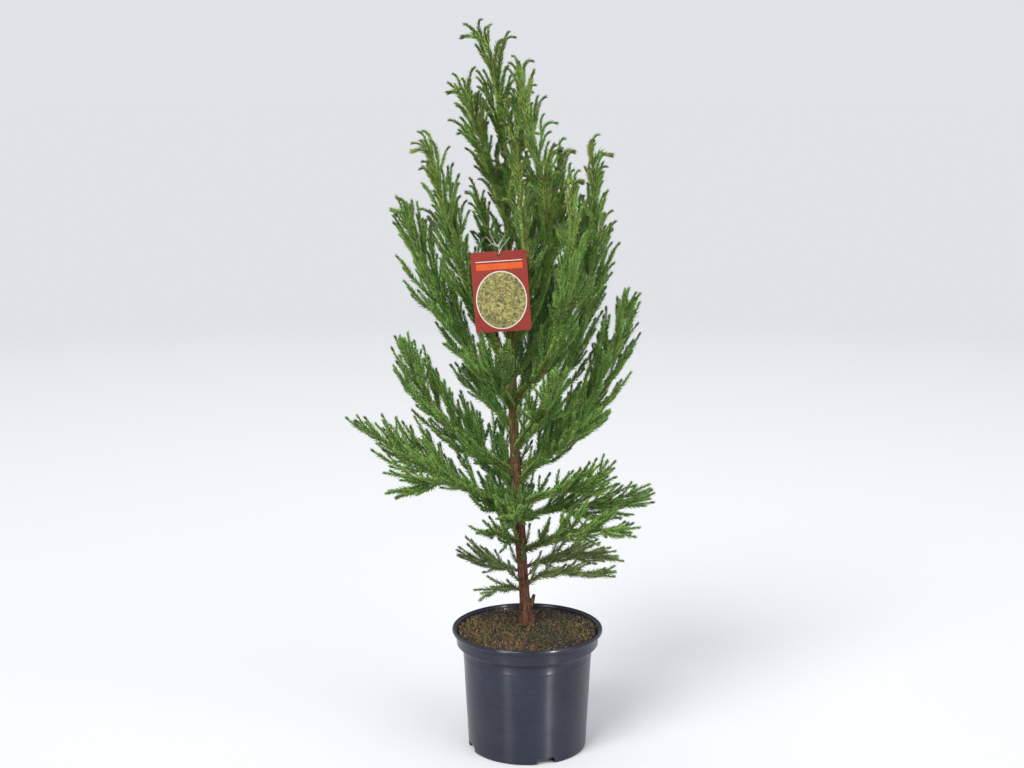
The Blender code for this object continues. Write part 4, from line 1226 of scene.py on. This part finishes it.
soilPiece = makeSoil()
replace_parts(soilPiece, "soil")
crumbPiece("barkCrumbs", (0.110, 0.050, 0.023), 2200, (0.0013, 0.0042), 11, lambda x, y: 1.0)
crumbPiece("peatCrumbs", (0.014, 0.009, 0.006), 2300, (0.0018, 0.0056), 12, lambda x, y: 1.0)
crumbPiece("redCrumbs", (0.215, 0.078, 0.036), 800, (0.0014, 0.0044), 13,
           lambda x, y: 0.04 + patchAt(x, y, -0.018, -0.058, 0.030))
crumbPiece("paleCrumbs", (0.380, 0.290, 0.160), 600, (0.0009, 0.0030), 14, lambda x, y: 1.0)
mossPiece("goldenMoss", (0.245, 0.165, 0.044), 2200, (0.0026, 0.0064), 15,
          lambda x, y: 0.14 + patchAt(x, y, -0.060, 0.0, 0.050) + 0.6 * patchAt(x, y, 0.07, 0.01, 0.04))
mossPiece("greenMoss", (0.050, 0.072, 0.017), 2600, (0.0026, 0.0060), 16,
          lambda x, y: 0.12 + patchAt(x, y, 0.030, -0.020, 0.045) + 0.5 * patchAt(x, y, -0.05, -0.05, 0.04))
print("soil made")


# The hang tag: a brick-red card with a mottled oval in a pale rim, an orange band and a pale line

tagPrint = {
    "proud": 0.00010, "ovalAcross": 0.0338, "ovalUp": 0.0392, "ovalHeight": -0.0120, "rim": 0.0015,
    "bandHeight": 0.0352, "bandTall": 0.0085, "bandWide": 0.0640, "lineHeight": 0.0425,
    "lineTall": 0.0011,
}


def laidOnTag(name, shape, finish, front, thickness):
    bmesh.ops.recalc_face_normals(shape, faces=shape.faces)
    if sum(face.normal.y for face in shape.faces) > 0:
        bmesh.ops.reverse_faces(shape, faces=shape.faces)
    grown = bmesh.ops.extrude_face_region(shape, geom=shape.faces[:])["geom"]
    fresh = {item for item in grown if isinstance(item, bmesh.types.BMVert)}
    for vert in shape.verts:
        vert.co.y = front if vert in fresh else front + thickness
    for vert in shape.verts:
        vert.co = onTag(*vert.co)
    return fromShape(name, shape, finish, 30)


def makeCard():
    shape = bmesh.new()
    bmesh.ops.create_cube(shape, size=1)
    bmesh.ops.scale(shape, vec=(tag["width"], tag["thickness"], tag["height"]), verts=shape.verts)
    corners = [edge for edge in shape.edges if edge.calc_length() < 2 * tag["thickness"]]
    bmesh.ops.bevel(shape, geom=corners, offset=tag["corner"], segments=8, profile=0.5, affect="EDGES",
                    material=-1)
    finish = Finish("brickCard", (0.245, 0.027, 0.018), 0.45, Specular_IOR_Level=0.2)
    finish.mottled(finish.noise(40.0, 2.0), 0.3, 0.7, (0.225, 0.024, 0.016), (0.265, 0.031, 0.020))
    piece = fromShape("tagCard", shape, finish, 30)
    hole = bmesh.new()
    bmesh.ops.create_cone(hole, cap_ends=True, segments=32, radius1=tag["holeRadius"],
                          radius2=tag["holeRadius"], depth=10 * tag["thickness"])
    quarter = Matrix.Rotation(math.pi / 2, 4, "X")
    lift = Matrix.Translation((0, 0, tag["height"] / 2 - tag["holeDrop"]))
    bmesh.ops.transform(hole, matrix=lift @ quarter, verts=hole.verts)
    cutFrom(piece, "hole", hole)
    piece.data.transform(Matrix.Translation(tag["centre"]) @ Matrix.Rotation(-tag["tilt"], 4, "Y"))
    return piece


def makePrint():
    face = -tag["thickness"] / 2
    white = Finish("paleInk", (0.620, 0.600, 0.560), 0.42)
    grain = white.noise(300.0, 2.0)
    white.feed("Roughness", white.range(grain, 0.3, 0.7, 0.36, 0.48))
    orange = Finish("orangeInk", (0.600, 0.090, 0.016), 0.45, Specular_IOR_Level=0.2)
    orange.mottled(orange.noise(60.0, 2.0), 0.3, 0.7, (0.560, 0.080, 0.014), (0.640, 0.102, 0.020))
    leafy = Finish("mottledInk", (0.380, 0.340, 0.075), 0.42)
    warped = leafy.noise(1.0, 4.0, 0.75, leafy.stretched(95.0, 95.0, 95.0), 2.4)
    fleck = leafy.noise(520.0, 3.0, 0.7)
    stops = ((0.40, (0.040, 0.035, 0.018)), (0.47, (0.140, 0.120, 0.030)), (0.53, (0.270, 0.245, 0.055)),
             (0.62, (0.440, 0.410, 0.130)))
    leafy.feed("Base Color", leafy.ramp(warped * 0.65 + fleck * 0.35, *stops))
    for name, wider, layers, finish in (("tagOvalRim", tagPrint["rim"], 1, white), ("tagOval", 0, 2, leafy)):
        across, upward = tagPrint["ovalAcross"] + wider, tagPrint["ovalUp"] + wider
        shape = bmesh.new()
        bmesh.ops.create_circle(shape, segments=72, radius=1, cap_ends=True)
        for vert in shape.verts:
            vert.co = (vert.co.x * across, 0, vert.co.y * upward + tagPrint["ovalHeight"])
        laidOnTag(name, shape, finish, face - layers * tagPrint["proud"], tagPrint["proud"])
    for name, height, tall, finish in (("tagBand", tagPrint["bandHeight"], tagPrint["bandTall"], orange),
                                       ("tagLine", tagPrint["lineHeight"], tagPrint["lineTall"], white)):
        shape = bmesh.new()
        bmesh.ops.create_grid(shape, x_segments=1, y_segments=1, size=0.5)
        for vert in shape.verts:
            vert.co = (vert.co.x * tagPrint["bandWide"], 0, vert.co.y * tall + height)
        laidOnTag(name, shape, finish, face - tagPrint["proud"], tagPrint["proud"])


cardPiece = makeCard()
makePrint()
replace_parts(cardPiece, "label_card")


tie = {
    "strandRadius": 0.00040, "apart": 0.00042, "twist": 0.0042, "endRadii": (0.00045, 0.00022),
    "woundTurns": 2.6, "woundRadius": 0.00050,
    "ends": ((-0.0165, -0.004, 0.010), (-0.0135, -0.006, 0.0035), (-0.010, -0.002, 0.0125),
             (0.0085, -0.004, 0.0105)),
}


def makeTie():  # two strands twisted round the stem, four loose ends, and the winding that holds them
    finish = Finish("paleTie", (0.520, 0.560, 0.470), 0.5)
    finish.mottled(finish.noise(500.0, 2.0), 0.35, 0.65, (0.400, 0.440, 0.360), (0.600, 0.640, 0.550))
    closed = np.concatenate([tieRun, tieRun[:1]])
    line = Path(rounded(np.concatenate([closed[-4:-1], closed, closed[1:4]])))
    skipStart = line.marks[np.argmin(np.linalg.norm(line.points[:20] - tieRun[0], axis=1))]
    around = Path(line.part(skipStart, line.length - skipStart * 0.6, 150))
    spots = np.linspace(0, around.length, 200)
    side, other = squareTo(around.heading(spots), (0.3, 0.2, 0.93))
    rows = []
    for strand in range(2):
        wave = turned(side, other, spots / tie["twist"] * math.tau + strand * math.pi)
        rows.append((around.at(spots) + wave * tie["apart"], np.full(len(spots), tie["strandRadius"])))
    knot = np.array(onTag(0.0005, -0.001, tag["height"] / 2 + 0.0075))
    curl = np.linspace(0, 1, 40)[:, None]
    for k, end in enumerate(tie["ends"]):
        sway = np.array([0.0, -0.0015, 0.0026 * (1 if k % 2 else -1)])
        loose = knot * (1 - curl) + (knot + np.array(end)) * curl + np.sin(curl * math.pi * 1.4) * sway
        rows.append((loose, np.linspace(*tie["endRadii"], 40)))
    share = np.linspace(0, 1, 60)[:, None]
    turns = share * math.tau * tie["woundTurns"]
    wound = np.hstack([np.cos(turns) * 0.0015, (share - 0.5) * 0.0022, np.sin(turns) * 0.0013])
    rows.append((knot + wound, np.full(60, tie["woundRadius"])))
    mesh = tubeMesh("tagTie", rows, 1)
    mesh.shade_smooth()
    return putIn("tagTie", mesh, finish)


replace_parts(makeTie(), "label_tie")
print("tag made")


# Floor, light and camera

def makeStage():
    shape = bmesh.new()
    bmesh.ops.create_circle(shape, segments=96, radius=26, cap_ends=True)
    mesh = meshOf("paleFloor", shape)
    mesh.transform(Matrix.Translation((0, 0, -0.0005)))
    finish = Finish("paleFloor", (0.56, 0.56, 0.565), 0.9, Specular_IOR_Level=0.0)
    # Painted light: the floor is paler near the middle and darker farther out.
    away = finish.add("ShaderNodeVectorMath", {"operation": "LENGTH"}, {0: finish.place}, out="Value")
    finish.mottled(away, 0.3, 4.0, (0.700, 0.706, 0.718), (0.514, 0.519, 0.533))
    mesh.materials.append(finish.material)
    floor = placed("paleFloor", mesh)


def addLamp(name, lamp, spot, glossOnly=False):
    holder = placed(name, lamp)
    holder.location = spot
    holder.rotation_euler = (Vector((-0.02, 0.0, 0.35)) - Vector(spot)).to_track_quat("-Z", "Y").to_euler()
    holder.visible_camera = False
    holder.visible_diffuse = not glossOnly


def makeLights():
    suns = {
        "keySun": ((-1.6, -2.4, 3.2), 2.45, 30, (1.0, 0.99, 0.965)),
        "fillSun": ((2.0, -1.9, 2.0), 1.0, 50, (0.98, 0.99, 1.0)),
    }
    for name, (spot, strength, spread, colour) in suns.items():
        lamp = bpy.data.lights.new(name, "SUN")
        lamp.energy = strength
        lamp.angle = math.radians(spread)
        lamp.color = colour
        addLamp(name, lamp, spot)
    strips = {
        "leftStrip": ((-1.19, -1.73, 0.50), (0.38, 1.2), 16.0),
        "rightStrip": ((1.35, -1.68, 0.85), (0.06, 1.5), 58.0),
    }
    for name, (spot, size, power) in strips.items():
        lamp = bpy.data.lights.new(name, "AREA")
        lamp.shape = "RECTANGLE"
        lamp.size, lamp.size_y = size
        lamp.energy = power
        addLamp(name, lamp, spot, glossOnly=True)
    world = bpy.data.worlds.new("paleStudio")
    world.use_nodes = True
    backdrop = world.node_tree.nodes["Background"]
    backdrop.inputs["Color"].default_value = (0.745, 0.765, 0.800, 1)
    backdrop.inputs["Strength"].default_value = 1.0
    bpy.context.scene.world = world


camera = {"lens": 62.2, "sensor": 36, "spot": (-0.0226, -2.487, 1.037), "down": math.radians(11.2)}


def makeCamera():
    lens = bpy.data.cameras.new("studioCamera")
    lens.sensor_width = camera["sensor"]
    lens.lens = camera["lens"]
    holder = placed("studioCamera", lens)
    holder.location = camera["spot"]
    holder.rotation_euler = (math.pi / 2 - camera["down"], 0, 0)
    bpy.context.scene.camera = holder
    bpy.context.scene.view_settings.view_transform = "Standard"


makeStage()
makeLights()
makeCamera()
print("stage made")
